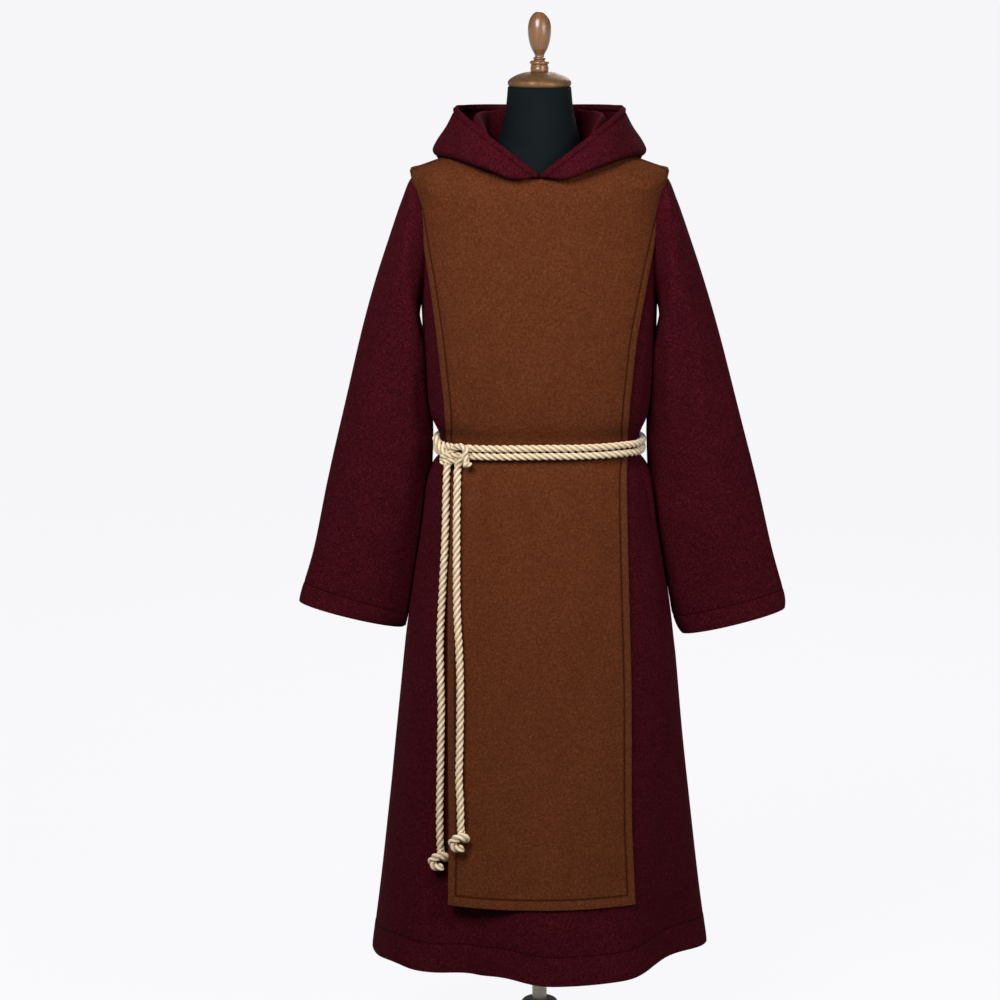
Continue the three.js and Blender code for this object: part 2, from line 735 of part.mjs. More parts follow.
function torso() {
  const angles = range(ROUND, -180, 180).slice(0, ROUND);
  const rounded = 2.3;
  const lower = TORSO_ROWS.map(([width, z, front, back]) => (
    angles.map((a) => ovalPoint(a, width, z, front, z, back, z, rounded))
  ));
  const shoulders = bodyRows
    .filter((ring) => ring > CHEST_RING)
    .map((ring) => angles.map((a) => bodyPoint(a, ring, -WOOL - SHOULDER_GAP)));
  const neck = NECK_ROWS.map((row) => angles.map((a) => ovalPoint(a, ...row, 2)));
  return loft([...lower, ...shoulders, ...neck]);
}

function pole() {
  const length = FORM_BOTTOM - HUB_HEIGHT - 2 * SEAM;
  return new THREE.CylinderGeometry(POLE / 2, POLE / 2, length, TURNED_ROUND.pole)
    .rotateX(Math.PI / 2)
    .translate(0, 0, HUB_HEIGHT + SEAM + length / 2);
}

// ---------------------------------------------------------------- assembly

const finishes = {
  wool: { color: 0x421219, roughness: 0.95, metalness: 0 },
  brownWool: { color: 0x693822, roughness: 0.95, metalness: 0 },
  rope: { color: 0xd5bc9b, roughness: 0.85, metalness: 0 },
  black: { color: 0x182123, roughness: 0.8, metalness: 0 },
  wood: { color: 0x936e4e, roughness: 0.4, metalness: 0 },
  bronze: { color: 0x836550, roughness: 0.35, metalness: 0.6 },
  metal: { color: 0x958f7e, roughness: 0.45, metalness: 0.5 },
};

const habit = new THREE.Group();

function piece(name, geometry, finish) {
  const mesh = new THREE.Mesh(geometry, new THREE.MeshStandardMaterial(finishes[finish]));
  mesh.name = name;
  habit.add(mesh);
}

const body = filledBody(SEAM);
const scapularCutters = [
  scapularReach(false, SCAPULAR_FRONT_EDGES),
  scapularReach(true, SCAPULAR_BACK_EDGES),
];
const armholes = [armhole(1), armhole(-1)];

piece("robe_front", robePanel(false, armholes), "wool");
piece("robe_back", robePanel(true, armholes), "wool");
piece("sleeve_left", sleeve(1, [body, ...scapularCutters]), "wool");
piece("sleeve_right", sleeve(-1, [body, ...scapularCutters]), "wool");
piece("hood_left", hoodHalf(1), "wool");
piece("hood_right", hoodHalf(-1), "wool");
piece("scapular_front", scapularPanel(false, SCAPULAR_FRONT_EDGES, body), "brownWool");
piece("scapular_back", scapularPanel(true, SCAPULAR_BACK_EDGES, body), "brownWool");
piece("belt_rope_upper", beltStrand(STRAND_RISE), "rope");
piece("belt_rope_lower", beltStrand(-STRAND_RISE), "rope");
piece("belt_knot", beltKnot(), "rope");
piece("tail_right", ropeTube(vectors(RIGHT_TAIL), ROPE_STEPS.tail), "rope");
piece("tail_left", ropeTube(vectors(LEFT_TAIL), ROPE_STEPS.tail), "rope");
piece("tail_right_knot", endKnot(RIGHT_TAIL), "rope");
piece("tail_left_knot", endKnot(LEFT_TAIL), "rope");
piece("form_torso", torso(), "black");
piece("form_cap", turned(CAP_PROFILE, TURNED_ROUND.cap), "bronze");
piece("form_finial", turned(FINIAL_PROFILE, TURNED_ROUND.finial), "wood");
piece("stand_pole", pole(), "metal");
piece("stand_base", turned(BASE_PROFILE, TURNED_ROUND.base), "metal");

export default habit;
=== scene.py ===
"""Looks of a monk's habit on its dress form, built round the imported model.

Tables are in millimetres and give the solids' shapes, but for one softer fold of the skirt and
for the sleeves, which are drawn in under the arms; objects are in metres.
X is the wearer's left, the front faces -Y and Z is up. Angles round the body run from the
front, positive towards the wearer's left.
"""

import math

import bpy
import numpy as np
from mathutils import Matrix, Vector
from mathutils.bvhtree import BVHTree


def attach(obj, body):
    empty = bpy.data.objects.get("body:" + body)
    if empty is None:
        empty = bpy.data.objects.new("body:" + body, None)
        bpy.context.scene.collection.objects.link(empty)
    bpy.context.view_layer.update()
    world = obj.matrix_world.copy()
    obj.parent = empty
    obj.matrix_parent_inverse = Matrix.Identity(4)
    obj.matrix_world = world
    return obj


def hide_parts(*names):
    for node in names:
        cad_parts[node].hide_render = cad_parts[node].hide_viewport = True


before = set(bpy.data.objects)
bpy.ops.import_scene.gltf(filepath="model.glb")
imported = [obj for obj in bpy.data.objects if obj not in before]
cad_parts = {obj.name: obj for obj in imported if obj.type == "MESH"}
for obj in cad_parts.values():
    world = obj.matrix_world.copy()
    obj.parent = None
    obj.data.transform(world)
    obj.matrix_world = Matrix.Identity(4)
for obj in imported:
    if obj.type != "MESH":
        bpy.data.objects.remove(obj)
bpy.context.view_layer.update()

MM = 0.001
WOOL = 2.6  # shown thickness of the robe, the sleeves and the hood
SCAPULAR_WOOL = 2.3
SEAM = 0.3
LAY = 2.0  # gap under the scapular
ROPE = 13.0
STRAND_RISE = ROPE / 2 + 0.95
BELT_HEIGHT = 1091.0
KNOT_ANGLE = -46.0
KNOT_SPREAD = 9.0
HEM_STITCH = 50.0  # from the robe's hem up to its stitching
CUFF_STITCH = 35.0
BORDER_STITCH = 14.0  # from the scapular's side edges
BOTTOM_STITCH = 17.0
RIM_STITCH = 12.5  # from the hood's rim
NECK_SEAM = 2.4  # from the body's surface up to the hood's first row
NECK_RING = 20  # the last of the body's rings
ROPE_ROUND = 30  # columns round a rope
STRAND_MIDDLE = 3.5  # from a rope's middle to the middle of each of its three strands
STRAND_RADIUS = 3.0
LAY_LENGTH = 37.0  # of one turn of the strands

# half width, side z, front depth, front z, back depth, back z, squareness
BODY_RINGS = np.array([
    [298, 181, 252, 181, 258, 181, 2.1],
    [283, 300, 238, 300, 242, 300, 2.1],
    [263, 480, 216, 480, 217, 480, 2.15],
    [245, 650, 195, 650, 193, 650, 2.15],
    [229, 800, 177, 800, 170, 800, 2.2],
    [208, 940, 153, 940, 145, 940, 2.3],
    [195, 1030, 135, 1030, 126, 1030, 2.3],
    [172.5, 1068, 120, 1068, 112, 1068, 2.4],
    [170.5, 1091, 118, 1091, 110, 1091, 2.4],
    [172.5, 1114, 120, 1114, 112, 1114, 2.4],
    [190, 1145, 129, 1145, 121, 1145, 2.4],
    [200, 1240, 131, 1240, 127, 1240, 2.4],
    [205, 1350, 123, 1350, 127, 1350, 2.4],
    [206, 1415, 116, 1415, 123, 1415, 2.4],
    [207, 1470, 109, 1462, 118, 1465, 2.4],
    [210, 1513, 104, 1495, 113, 1505, 2.4],
    [216, 1545, 101, 1517, 108, 1532, 2.4],
    [208, 1562, 98, 1530, 103, 1550, 2.4],
    [182, 1574, 95, 1539, 97, 1564, 2.4],
    [138, 1588, 92, 1547, 88, 1578, 2.2],
    [84, 1602, 89, 1554, 76, 1592, 2.0],
], float)
HEM_Z = 181.0
# angle, half spread, depth inward, lift of the hem, top z
SKIRT_FOLDS = [
    (-27, 25, 34, 7, 760), (-10, 14, 5, 8, 600), (-57, 22, 2, 8, 760), (57, 30, 32, 5, 700),
    (72, 60, 0, 11, 700), (-118, 22, 22, 3, 820), (-158, 20, 30, 5, 880),
    (152, 22, 26, 4, 800), (112, 18, 16, 2, 640),
]
FREE_ROW = 2  # from this ring down a sleeve hangs beside the body
BESIDE_BODY = 2.0  # air between a hanging sleeve and the body
UNDERARM_TUCK = 13.0  # how far the cloth under the arm is drawn in towards the body
UNDERARM_ROW = 2.9
# outer x, z, inner x, z, half depth, middle y, extra out, extra in, drop of the left sleeve
SLEEVE_RINGS = np.array([
    [186, 1556, 178, 1362, 38, 4, 0, 0, 0],
    [218, 1552, 203, 1335, 66, 2, 0, 0, 0],
    [237, 1512, 211, 1288, 75, 0, 0, 0, 0],
    [259, 1450, 203, 1235, 78, 2, 0, 0, 0],
    [285, 1370, 192, 1180, 76, 6, 0, 0, 0],
    [313, 1268, 186.5, 1118, 72, 8, 2, 1, 0],
    [343, 1143, 188.5, 1040, 66, 8, 6, 1.5, 0],
    [370, 1020, 192, 950, 59, 8, 11, 1, 2],
    [395, 906, 200, 857, 52, 8, 13, 14, 6],
    [417, 830, 212, 781, 46, 6, 13, 28, 10],
    [423, 806, 240, 761, 43, 4, 9, 12, 12],
], float)
# z, x of the right arm's side, x of the left arm's side
FRONT_EDGES = np.array([
    [315, -155, 162], [450, -154, 157], [690, -155, 155], [1034, -155, 147],
    [1118, -157, 148], [1172, -160, 152], [1280, -172, 164], [1390, -187, 183],
    [1434, -194, 192], [1496, -202, 204], [1513, -207.5, 207.5], [1545, -215, 215],
], float)
BACK_EDGES = np.array([
    [335, -160, 160], [690, -156, 156], [1118, -152, 152], [1280, -166, 166],
    [1434, -192, 192], [1513, -207.5, 207.5], [1545, -215, 215],
], float)
CORNER_RING = 16  # from this ring up the scapular reaches the shoulder's ridge
# Hood rows from the neck seam to the rim; columns from the front point to the centre back.
HOOD_SEAM = [1, 26, 51, 77, 100, 125, 152, 180]
HOOD_ROWS = np.array([
    [[2, -90, 1559], [39, -88, 1571], [72, -72, 1592], [89, -36, 1622], [96, 8, 1634],
     [84, 56, 1632], [48, 84, 1630], [0, 92, 1628]],
    [[3, -92, 1561], [41, -95, 1575], [77, -70, 1605], [98, -34, 1643], [107, 12, 1657],
     [94, 66, 1658], [54, 96, 1658], [0, 106, 1658]],
    [[3.5, -94, 1562], [42, -101, 1572], [84, -78, 1596], [108, -40, 1626], [119, 12, 1632],
     [112, 74, 1610], [66, 118, 1560], [0, 130, 1545]],
    [[4, -96, 1562], [43, -105, 1566], [87, -90, 1581], [116, -52, 1596], [142, 10, 1602],
     [140, 84, 1582], [84, 136, 1478], [0, 146, 1430]],
    [[4, -100, 1558], [46, -109, 1556], [88, -99, 1571], [136, -64, 1585], [178, 8, 1589],
     [176, 84, 1576], [104, 146, 1420], [0, 152, 1352]],
    [[4.5, -100, 1561], [46, -106, 1576], [89, -94, 1596], [130, -58, 1616], [159, 14, 1630],
     [153, 92, 1624], [106, 168, 1540], [0, 184, 1480]],
    [[5, -99, 1565], [45, -97, 1596], [84, -74, 1624], [122, -38, 1653], [143, 22, 1669],
     [130, 88, 1668], [84, 138, 1666], [0, 158, 1664]],
], float)
RIGHT_TAIL = [
    [-158, -99, 1062], [-160, -105, 1030], [-161, -117, 975], [-163, -128, 920],
    [-166, -135, 865], [-169, -140, 810], [-171, -147, 755], [-170, -154, 700],
    [-169, -160, 650], [-170, -167, 590], [-171, -173, 530], [-172, -178, 480],
    [-172, -182, 440], [-171, -185, 404],
]
LEFT_TAIL = [
    [-140, -109, 1062], [-141, -119, 1032], [-142, -131, 980], [-142, -142, 925],
    [-142, -152, 870], [-141, -162, 815], [-138, -171, 760], [-136, -179, 705],
    [-136, -186, 650], [-137, -193, 590], [-138, -201, 535], [-136, -209, 495],
    [-135, -217, 446],
]
# angle, height above the belt's middle, distance out to the rope's middle
BELT_COURSE = np.array([
    [-180, 0, 14], [-125, 0, 14], [-100, -2, 9.2], [-80, -3, 9.2], [-62, -4, 14],
    [-50, -5, 14], [-36, -3, 14], [0, 1, 14], [50, 0, 14], [64, -2, 13.8], [80, -3, 9.2],
    [100, -3, 9.2], [125, -2, 14], [180, 0, 14],
], float)


# ---------------------------------------------------------------- shared geometry

def spline(values, at):
    """Catmull-Rom values through rows at 0, 1, 2 ..."""
    values = np.asarray(values, float)
    at = np.asarray(at, float)
    last = len(values) - 1
    index = np.clip(np.floor(at).astype(int), 0, last - 1)
    f = (at - index).reshape(at.shape + (1,) * (values.ndim - 1))
    a, b = values[np.maximum(index - 1, 0)], values[index]
    c, d = values[index + 1], values[np.minimum(index + 2, last)]
    return b + 0.5 * f * (c - a + f * (2 * a - 5 * b + 4 * c - d + f * (3 * (b - c) + d - a)))


def unit(v):
    return v / np.maximum(np.linalg.norm(v, axis=-1, keepdims=True), 1e-12)


def lengths(points, axis=0):
    """Distance run along an axis of a grid of points."""
    steps = np.linalg.norm(np.diff(points, axis=axis), axis=-1)
    start = np.zeros_like(np.take(steps, [0], axis=axis))
    return np.concatenate([start, np.cumsum(steps, axis=axis)], axis=axis)


def even(points, step):
    """A line again, with points about a step apart."""
    points = np.asarray(points, float)
    run = lengths(points)
    at = np.linspace(0, run[-1], max(3, int(round(run[-1] / step)) + 1))
    return np.stack([np.interp(at, run, points[:, k]) for k in range(3)], axis=1)


def smooth_line(route, step=1.0):
    """A smooth curve through a route's points, evenly spaced."""
    route = np.asarray(route, float)
    return even(spline(route, np.linspace(0, len(route) - 1, 24 * len(route))), step)


def gauss(distance, width):
    return np.exp(-(distance / width) ** 2)


def fade(at, low, high):
    """0 below low, 1 above high, smooth between."""
    f = np.clip((at - low) / (high - low), 0, 1)
    return f * f * (3 - 2 * f)


def oval(degrees, row):
    s, c = np.sin(np.radians(degrees)), np.cos(np.radians(degrees))
    front = c > 0
    depth = np.where(front, -row[..., 2], row[..., 4])
    end = np.where(front, row[..., 3], row[..., 5])
    power = 2 / row[..., 6]
    return np.stack([
        row[..., 0] * np.sign(s) * np.abs(s) ** power,
        depth * np.abs(c) ** power,
        end + (row[..., 1] - end) * s * s,
    ], axis=-1)


def body_surface(degrees, ring, folded=True):
    """Points of the robe's outer surface, with the skirt's large folds."""
    degrees, ring = np.broadcast_arrays(np.asarray(degrees, float), np.asarray(ring, float))
    p = oval(degrees, spline(BODY_RINGS, ring))
    if not folded:
        return p
    inward, lift = np.zeros(p.shape[:-1]), np.zeros(p.shape[:-1])
    for angle, spread, depth, rise, top in SKIRT_FOLDS:
        away = np.abs((degrees - angle + 540) % 360 - 180)
        bump = np.where(away < spread, np.cos(away / spread * math.pi / 2) ** 2, 0)
        fall = np.clip((top - p[..., 2]) / (top - HEM_Z), 0, None) ** 1.4
        inward += depth * bump * fall
        lift += rise * bump * fall ** 3
    radius = np.hypot(p[..., 0], p[..., 1])
    p[..., :2] *= (1 - inward / radius)[..., None]
    p[..., 2] += lift
    return p


def body_normal(degrees, ring, folded=True):
    around = body_surface(degrees + 0.5, ring, folded) - body_surface(degrees - 0.5, ring, folded)
    low, high = np.maximum(ring - 0.05, 0), np.minimum(ring + 0.05, NECK_RING)
    up = body_surface(degrees, high, folded) - body_surface(degrees, low, folded)
    return unit(np.cross(around, up))


def body_point(degrees, ring, out, folded=True):
    degrees, ring = np.broadcast_arrays(np.asarray(degrees, float), np.asarray(ring, float))
    out = np.broadcast_to(np.asarray(out, float), degrees.shape)
    return body_surface(degrees, ring, folded) + body_normal(degrees, ring, folded) * out[..., None]


def ring_at(z):
    return np.interp(z, BODY_RINGS[:, 1], np.arange(len(BODY_RINGS)))


def angle_at_x(x, ring, is_back):
    """The angle at which rings of the body reach given x values."""
    low, high = np.zeros_like(ring), np.full_like(ring, 90.0)
    for _ in range(30):
        middle = (low + high) / 2
        here = body_surface(180 - middle if is_back else middle, ring, False)[..., 0]
        short = here < np.abs(x)
        low, high = np.where(short, middle, low), np.where(short, high, middle)
    return np.sign(x) * low


def crease_field(u, v, creases):
    """Sum of soft troughs (depth below 0) and ridges along segments, in mm.

    u and v are places in mm; a crease is u0, v0, u1, v1, half width, height.
    """
    total = np.zeros_like(u)
    for u0, v0, u1, v1, width, height in creases:
        along = np.array([u1 - u0, v1 - v0], float)
        size = np.hypot(*along)
        t = ((u - u0) * along[0] + (v - v0) * along[1]) / size ** 2
        side = ((u - u0) * along[1] - (v - v0) * along[0]) / size
        bend = side + width * 0.5 * np.sin(t * 3.1)
        taper = fade(t, -0.08, 0.3) * (1 - fade(t, 0.55, 1.08))
        total += height * gauss(bend, width * (0.75 + 0.5 * np.clip(t, 0, 1))) * taper
    return total


def creases_round(table, radius):
    """Creases whose first places are degrees round a tube, turned into mm."""
    return [(math.radians(a) * radius, v0, math.radians(b) * radius, v1, width, height)
            for a, v0, b, v1, width, height in table]


def waviness(u, v, size, seed):
    """Slow, uneven swell of hanging cloth: a few long waves with fixed phases."""
    draw = np.random.default_rng(seed)
    total = np.zeros_like(u)
    for _ in range(7):
        long_u, long_v = draw.uniform(70, 190), draw.uniform(220, 620)
        phase = draw.uniform(0, 2 * math.pi, 2)
        total += np.sin(2 * math.pi * u / long_u + phase[0]) * np.sin(2 * math.pi * v / long_v + phase[1])
    return total * size / 2.6


def hem_profile(distance, line, groove=0.55, puff=0.45):
    """Rise of a turned and stitched hem: fuller between its edge and the stitching."""
    inside = fade(distance, 0.5, 7) * (1 - fade(distance, line - 7, line - 1))
    return puff * inside - groove * gauss(distance - line, 1.5) + 0.15 * (distance < line)


def hem_painted_shade_and_light(distance, line, depth=1.0, band=0.6):
    """Painted shade and light for the material: 1 is painted shade at the bottom of a stitched groove, below
    0 is a painted highlight on a hem's band.
    """
    return depth * gauss(distance - line, 1.9) - band * (1 - fade(distance, line - 5, line - 2))


def stations(fixed, total, step):
    """Fixed distances from an edge, then even steps up to a total."""
    count = int(math.ceil((np.max(total) - fixed[-1]) / step))
    rest = np.linspace(0, 1, count + 1)[1:]
    total = np.asarray(total, float)
    tail = fixed[-1] + rest * (total[..., None] - fixed[-1])
    head = np.broadcast_to(fixed, total.shape + (len(fixed),))
    return np.concatenate([head, tail], axis=-1)


def rows_at(marks, run, fine_rows):
    """The rows of a surface at the marked distances up each of its columns."""
    return np.stack([np.interp(marks[c], run[:, c], fine_rows) for c in range(len(marks))], axis=1)


def nearest(marks, distance):
    return int(np.argmin(np.abs(marks - distance)))


def uv_grid(u, v):
    return np.stack(np.broadcast_arrays(u, v), axis=-1)


def edge_marks(line, reach):
    """Distances from a sewn edge, close together at the edge and at its stitching."""
    marks = [0, 0.8, 2.5, 5.5]
    mark = 11.0
    while mark < line - 5:
        marks.append(mark)
        mark += 6.5
    marks += [line - 4, line - 2, line - 1, line, line + 1, line + 2, line + 4, line + 8]
    mark = line + 14
    while mark < reach:
        marks.append(mark)
        mark += 7
    return np.unique(np.array(marks, float))


# ---------------------------------------------------------------- meshes

class Cloth:
    """Collects points, faces, UVs and material numbers of one object."""

    def __init__(self):
        self.points, self.faces, self.uvs, self.materials = [], [], [], []
        self.grooves = []
        self.count = 0

    def add(self, points, faces, uv=None, material=0, groove=None):
        points = np.asarray(points, float).reshape(-1, 3)
        faces = np.asarray(faces, int)
        self.points.append(points)
        self.faces += (faces + self.count).tolist()
        corner_uv = np.zeros(faces.shape + (2,)) if uv is None else np.asarray(uv, float)
        self.uvs.append(corner_uv.reshape(-1, 2))
        self.materials += [material] * len(faces)
        self.grooves.append(np.zeros(len(points)) if groove is None else np.ravel(groove))
        self.count += len(points)

    def add_fans(self, base, rows, columns, middles):
        """Closes the first and the last ring of a wrapped grid with triangles."""
        for row, middle in ((0, middles[0]), (rows - 1, middles[1])):
            number = self.count
            self.points.append(np.array([middle], float))
            self.grooves.append(np.zeros(1))
            self.count += 1
            for c in range(columns):
                a, b = base + row * columns + c, base + row * columns + (c + 1) % columns
                self.faces.append([number, b, a] if row == 0 else [number, a, b])
        self.uvs.append(np.zeros((2 * columns * 3, 2)))
        self.materials += [0] * (2 * columns)

    def build(self, name, materials, nodes):
        mesh = bpy.data.meshes.new(name)
        mesh.from_pydata((np.concatenate(self.points) * MM).tolist(), [], self.faces)
        layer = mesh.uv_layers.new(name="cloth")
        layer.data.foreach_set("uv", np.concatenate(self.uvs).ravel())
        # groove: painted shade in stitched grooves, between rope strands and in the hood's hollows; below 0,
        # a painted highlight on hem bands
        groove = mesh.attributes.new("groove", "FLOAT", "POINT")
        groove.data.foreach_set("value", np.concatenate(self.grooves))
        mesh.polygons.foreach_set("material_index", self.materials)
        mesh.polygons.foreach_set("use_smooth", [True] * len(self.faces))
        for material in materials:
            mesh.materials.append(material)
        mesh.validate()
        mesh.update()
        piece = bpy.data.objects.new(name, mesh)
        bpy.context.scene.collection.objects.link(piece)
        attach(piece, "root")
        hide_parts(*nodes)
        return piece


def grid_quads(rows, columns, wrap, keep=None):
    """Quads over a grid, and their corners' numbers in a grid of UVs that isn't wrapped."""
    spans = columns if wrap else columns - 1
    r, c = np.meshgrid(np.arange(rows - 1), np.arange(spans), indexing="ij")
    if keep is not None:
        r, c = r[keep], c[keep]
    r, c = r.ravel(), c.ravel()
    wide = spans + 1

    def corners(width, next_column):
        return np.stack([
            r * width + c, r * width + next_column,
            (r + 1) * width + next_column, (r + 1) * width + c,
        ], axis=1)

    return corners(columns, (c + 1) % columns), corners(wide, c + 1)


def add_shell(cloth, outer, inner, uv, wrap=False, keep=None, groove=None):
    """A thin closed wall between two grids of points, with rounded edges."""
    rows, columns = outer.shape[:2]
    quads, uv_quads = grid_quads(rows, columns, wrap, keep)
    flat_out, flat_in = outer.reshape(-1, 3), inner.reshape(-1, 3)
    normal = unit(flat_out - flat_in)
    q = flat_out[quads]
    facing = np.cross(q[:, 2] - q[:, 0], q[:, 3] - q[:, 1])
    if np.einsum("ij,ij->i", facing, normal[quads[:, 0]]).sum() < 0:
        quads, uv_quads = quads[:, ::-1], uv_quads[:, ::-1]
    total = rows * columns
    starts, ends = quads.ravel(), np.roll(quads, -1, axis=1).ravel()
    rim = ~np.isin(starts * total + ends, ends * total + starts)
    a, b = starts[rim], ends[rim]
    outward = np.zeros_like(flat_out)
    away = np.cross(flat_out[b] - flat_out[a], normal[a])
    np.add.at(outward, a, away)
    np.add.at(outward, b, away)
    rim_points = np.unique(np.concatenate([a, b]))
    number = np.full(total, -1)
    number[rim_points] = np.arange(len(rim_points)) + 2 * total
    thickness = np.linalg.norm(flat_out - flat_in, axis=1, keepdims=True)
    middle = (flat_out + flat_in) / 2 + unit(outward) * 0.42 * thickness
    uv_flat = uv.reshape(-1, 2)
    sides = np.concatenate([
        np.stack([b, a, number[a], number[b]], axis=1),
        np.stack([number[b], number[a], a + total, b + total], axis=1),
    ])
    plain_uv = uv[:, :columns].reshape(-1, 2)
    side_uv = np.concatenate([plain_uv[np.stack([b, a, a, b], axis=1)]] * 2)
    points = np.concatenate([flat_out, flat_in, middle[rim_points]])
    faces = np.concatenate([quads, quads[:, ::-1] + total, sides])
    face_uv = np.concatenate([uv_flat[uv_quads], uv_flat[uv_quads[:, ::-1]], side_uv])
    used, faces = np.unique(faces, return_inverse=True)
    faces = faces.reshape(-1, 4)
    # groove: painted shade and highlight; the inner face takes half
    grooves = None
    if groove is not None:
        flat_groove = np.ravel(groove)
        grooves = np.concatenate([flat_groove, flat_groove * 0.5, np.zeros(len(rim_points))])[used]
    cloth.add(points[used], faces, face_uv, groove=grooves)


def add_stitches(cloth, line, normals, spacing=3.7, size=2.9, radius=0.42, sink=0.12):
    """Short raised stitches along a line that lies on the cloth."""
    run = lengths(line)
    count = int(run[-1] / spacing)
    middles = (np.arange(count) + 0.5) * run[-1] / count

    def at(values, place):
        return np.stack([np.interp(place, run, values[:, k]) for k in range(3)], axis=1)

    centre = at(line, middles) + unit(at(normals, middles)) * (radius * 0.55 - sink)
    along = unit(at(line, middles + size / 2) - at(line, middles - size / 2))
    up = unit(at(normals, middles))
    across = unit(np.cross(along, up))
    up = np.cross(across, along)
    sides = 5
    ring = np.arange(sides) * 2 * math.pi / sides
    rings = []
    for place, scale in ((-0.5, 0.5), (0, 1.0), (0.5, 0.5)):
        drop = -0.35 * radius * abs(place) * 2
        middle = centre + along * size * place + up * drop
        rings.append(middle[:, None] + radius * scale * (
            across[:, None] * np.cos(ring)[None, :, None] + up[:, None] * np.sin(ring)[None, :, None]))
    tips = [centre + along * size * sign * 0.56 - up * 0.4 * radius for sign in (-1, 1)]
    block = np.concatenate([*rings, tips[0][:, None], tips[1][:, None]], axis=1)
    faces = []
    for k in range(sides):
        n = (k + 1) % sides
        for r in range(2):
            faces.append([r * sides + k, r * sides + n, (r + 1) * sides + n, (r + 1) * sides + k])
    quads = np.array(faces)
    caps = [[3 * sides, (k + 1) % sides, k] for k in range(sides)]
    caps += [[3 * sides + 1, 2 * sides + k, 2 * sides + (k + 1) % sides] for k in range(sides)]
    shift = np.arange(count)[:, None, None] * (3 * sides + 2)
    if np.linalg.det(np.stack([across[0], up[0], along[0]])) <= 0:
        quads, caps = quads[:, ::-1], [cap[::-1] for cap in caps]
    base = cloth.count
    cloth.add(block, (quads[None] + shift).reshape(-1, 4), material=1)
    triangles = (np.array(caps)[None] + shift).reshape(-1, 3) + base
    cloth.faces += triangles.tolist()
    cloth.uvs.append(np.zeros((triangles.size, 2)))
    cloth.materials += [1] * len(triangles)


TUBE_START = [0.31, 0.17, 0.94]  # a direction that no cord starts in
TUBE_DOME = 0.3  # how far a tube's end stands out


def add_tube(cloth, line, section):
    """A tube round a line; section(run, angle, total run) gives its radius and the painted shade of its
    grooves.
    """
    tangent = unit(np.gradient(line, axis=0))
    first = np.cross(tangent[0], TUBE_START)
    normal = [unit(first)]
    for t in tangent[1:]:
        n = normal[-1] - t * np.dot(normal[-1], t)
        normal.append(n / np.linalg.norm(n))
    normal = np.array(normal)
    other = np.cross(tangent, normal)
    run = lengths(line)
    angle = np.arange(ROPE_ROUND) * 2 * math.pi / ROPE_ROUND
    radius, groove = section(run[:, None], angle[None, :], run[-1])
    points = line[:, None] + radius[..., None] * (
        normal[:, None] * np.cos(angle)[None, :, None] + other[:, None] * np.sin(angle)[None, :, None])
    rows, columns = points.shape[:2]
    quads, uv_quads = grid_quads(rows, columns, True)
    wide = np.arange(columns + 1) / columns
    uv = uv_grid(run[:, None] * MM, wide[None, :]).reshape(-1, 2)
    base = cloth.count
    cloth.add(points, quads, uv[uv_quads], groove=groove)
    ends = (line[0] - tangent[0] * TUBE_DOME, line[-1] + tangent[-1] * TUBE_DOME)
    cloth.add_fans(base, rows, columns, ends)


def rope_radius(scale=1.0, phase=0.0, round_ends=(2.5, 2.5)):
    """Section of a three-strand rope laid right-handed, with rounded ends, and painted shade between its
    strands.
    """
    def section(run, angle, total):
        local = angle - phase - 2 * math.pi * run / LAY_LENGTH
        local = (local + math.pi / 3) % (2 * math.pi / 3) - math.pi / 3
        root = np.maximum(STRAND_RADIUS ** 2 - (STRAND_MIDDLE * np.sin(local)) ** 2, 0)
        lobe = STRAND_MIDDLE * np.cos(local) + np.sqrt(root)
        radius = np.maximum(lobe, 4.4) * scale
        # painted shade: darker where the surface sinks between the strands
        groove = np.clip((6.3 - lobe) / 1.9, 0, 1) ** 2.0
        for distance, length in ((run, round_ends[0]), (total - run, round_ends[1])):
            if length:
                f = np.clip(distance / length, 0, 1)
                radius = radius * (0.62 + 0.38 * np.sqrt(1 - (1 - f) ** 2))
        return radius, groove
    return section


# ---------------------------------------------------------------- camera, floor, light

CAMERA_DISTANCE = 6.0
CAMERA_ELEVATION = 10.0
CAMERA_LENS = 123.43
CAMERA_SHIFT = -0.0395
AIM_HEIGHT = 0.986

camera_data = bpy.data.cameras.new("camera")
camera_data.sensor_width = 36.0
camera_data.lens = CAMERA_LENS
camera_data.shift_x = CAMERA_SHIFT
camera_data.clip_end = 400
camera = bpy.data.objects.new("camera", camera_data)
tilt = math.radians(CAMERA_ELEVATION)
camera.location = (
    0, -CAMERA_DISTANCE * math.cos(tilt), AIM_HEIGHT + CAMERA_DISTANCE * math.sin(tilt))
camera.rotation_euler = (math.pi / 2 - tilt, 0, 0)
bpy.context.scene.collection.objects.link(camera)
bpy.context.scene.camera = camera
bpy.context.scene.view_settings.view_transform = "Standard"


def area_light(name, place, aim, size, power, colour):
    data = bpy.data.lights.new(name, "AREA")
    data.shape = "DISK"
    data.size = size
    data.energy = power
    data.color = colour
    lamp = bpy.data.objects.new(name, data)
    lamp.location = place
    lamp.visible_camera = False
    lamp.rotation_euler = (Vector(aim) - Vector(place)).to_track_quat("-Z", "Y").to_euler()
    bpy.context.scene.collection.objects.link(lamp)


area_light("key", (-0.95, -2.1, 2.85), (0, 0, 1.45), 1.4, 90, (1.0, 0.985, 0.965))
area_light("fill", (2.2, -2.3, 2.2), (0, 0, 1.3), 1.3, 56, (1.0, 0.99, 0.98))
area_light("back", (0.8, 3.4, 3.2), (0, 0, 1.25), 2.2, 66, (1.0, 0.99, 0.98))

world = bpy.data.worlds.new("studio")
world.use_nodes = True
world.node_tree.nodes["Background"].inputs["Color"].default_value = (0.965, 0.965, 0.975, 1)
world.node_tree.nodes["Background"].inputs["Strength"].default_value = 0.13
bpy.context.scene.world = world

# ---------------------------------------------------------------- materials


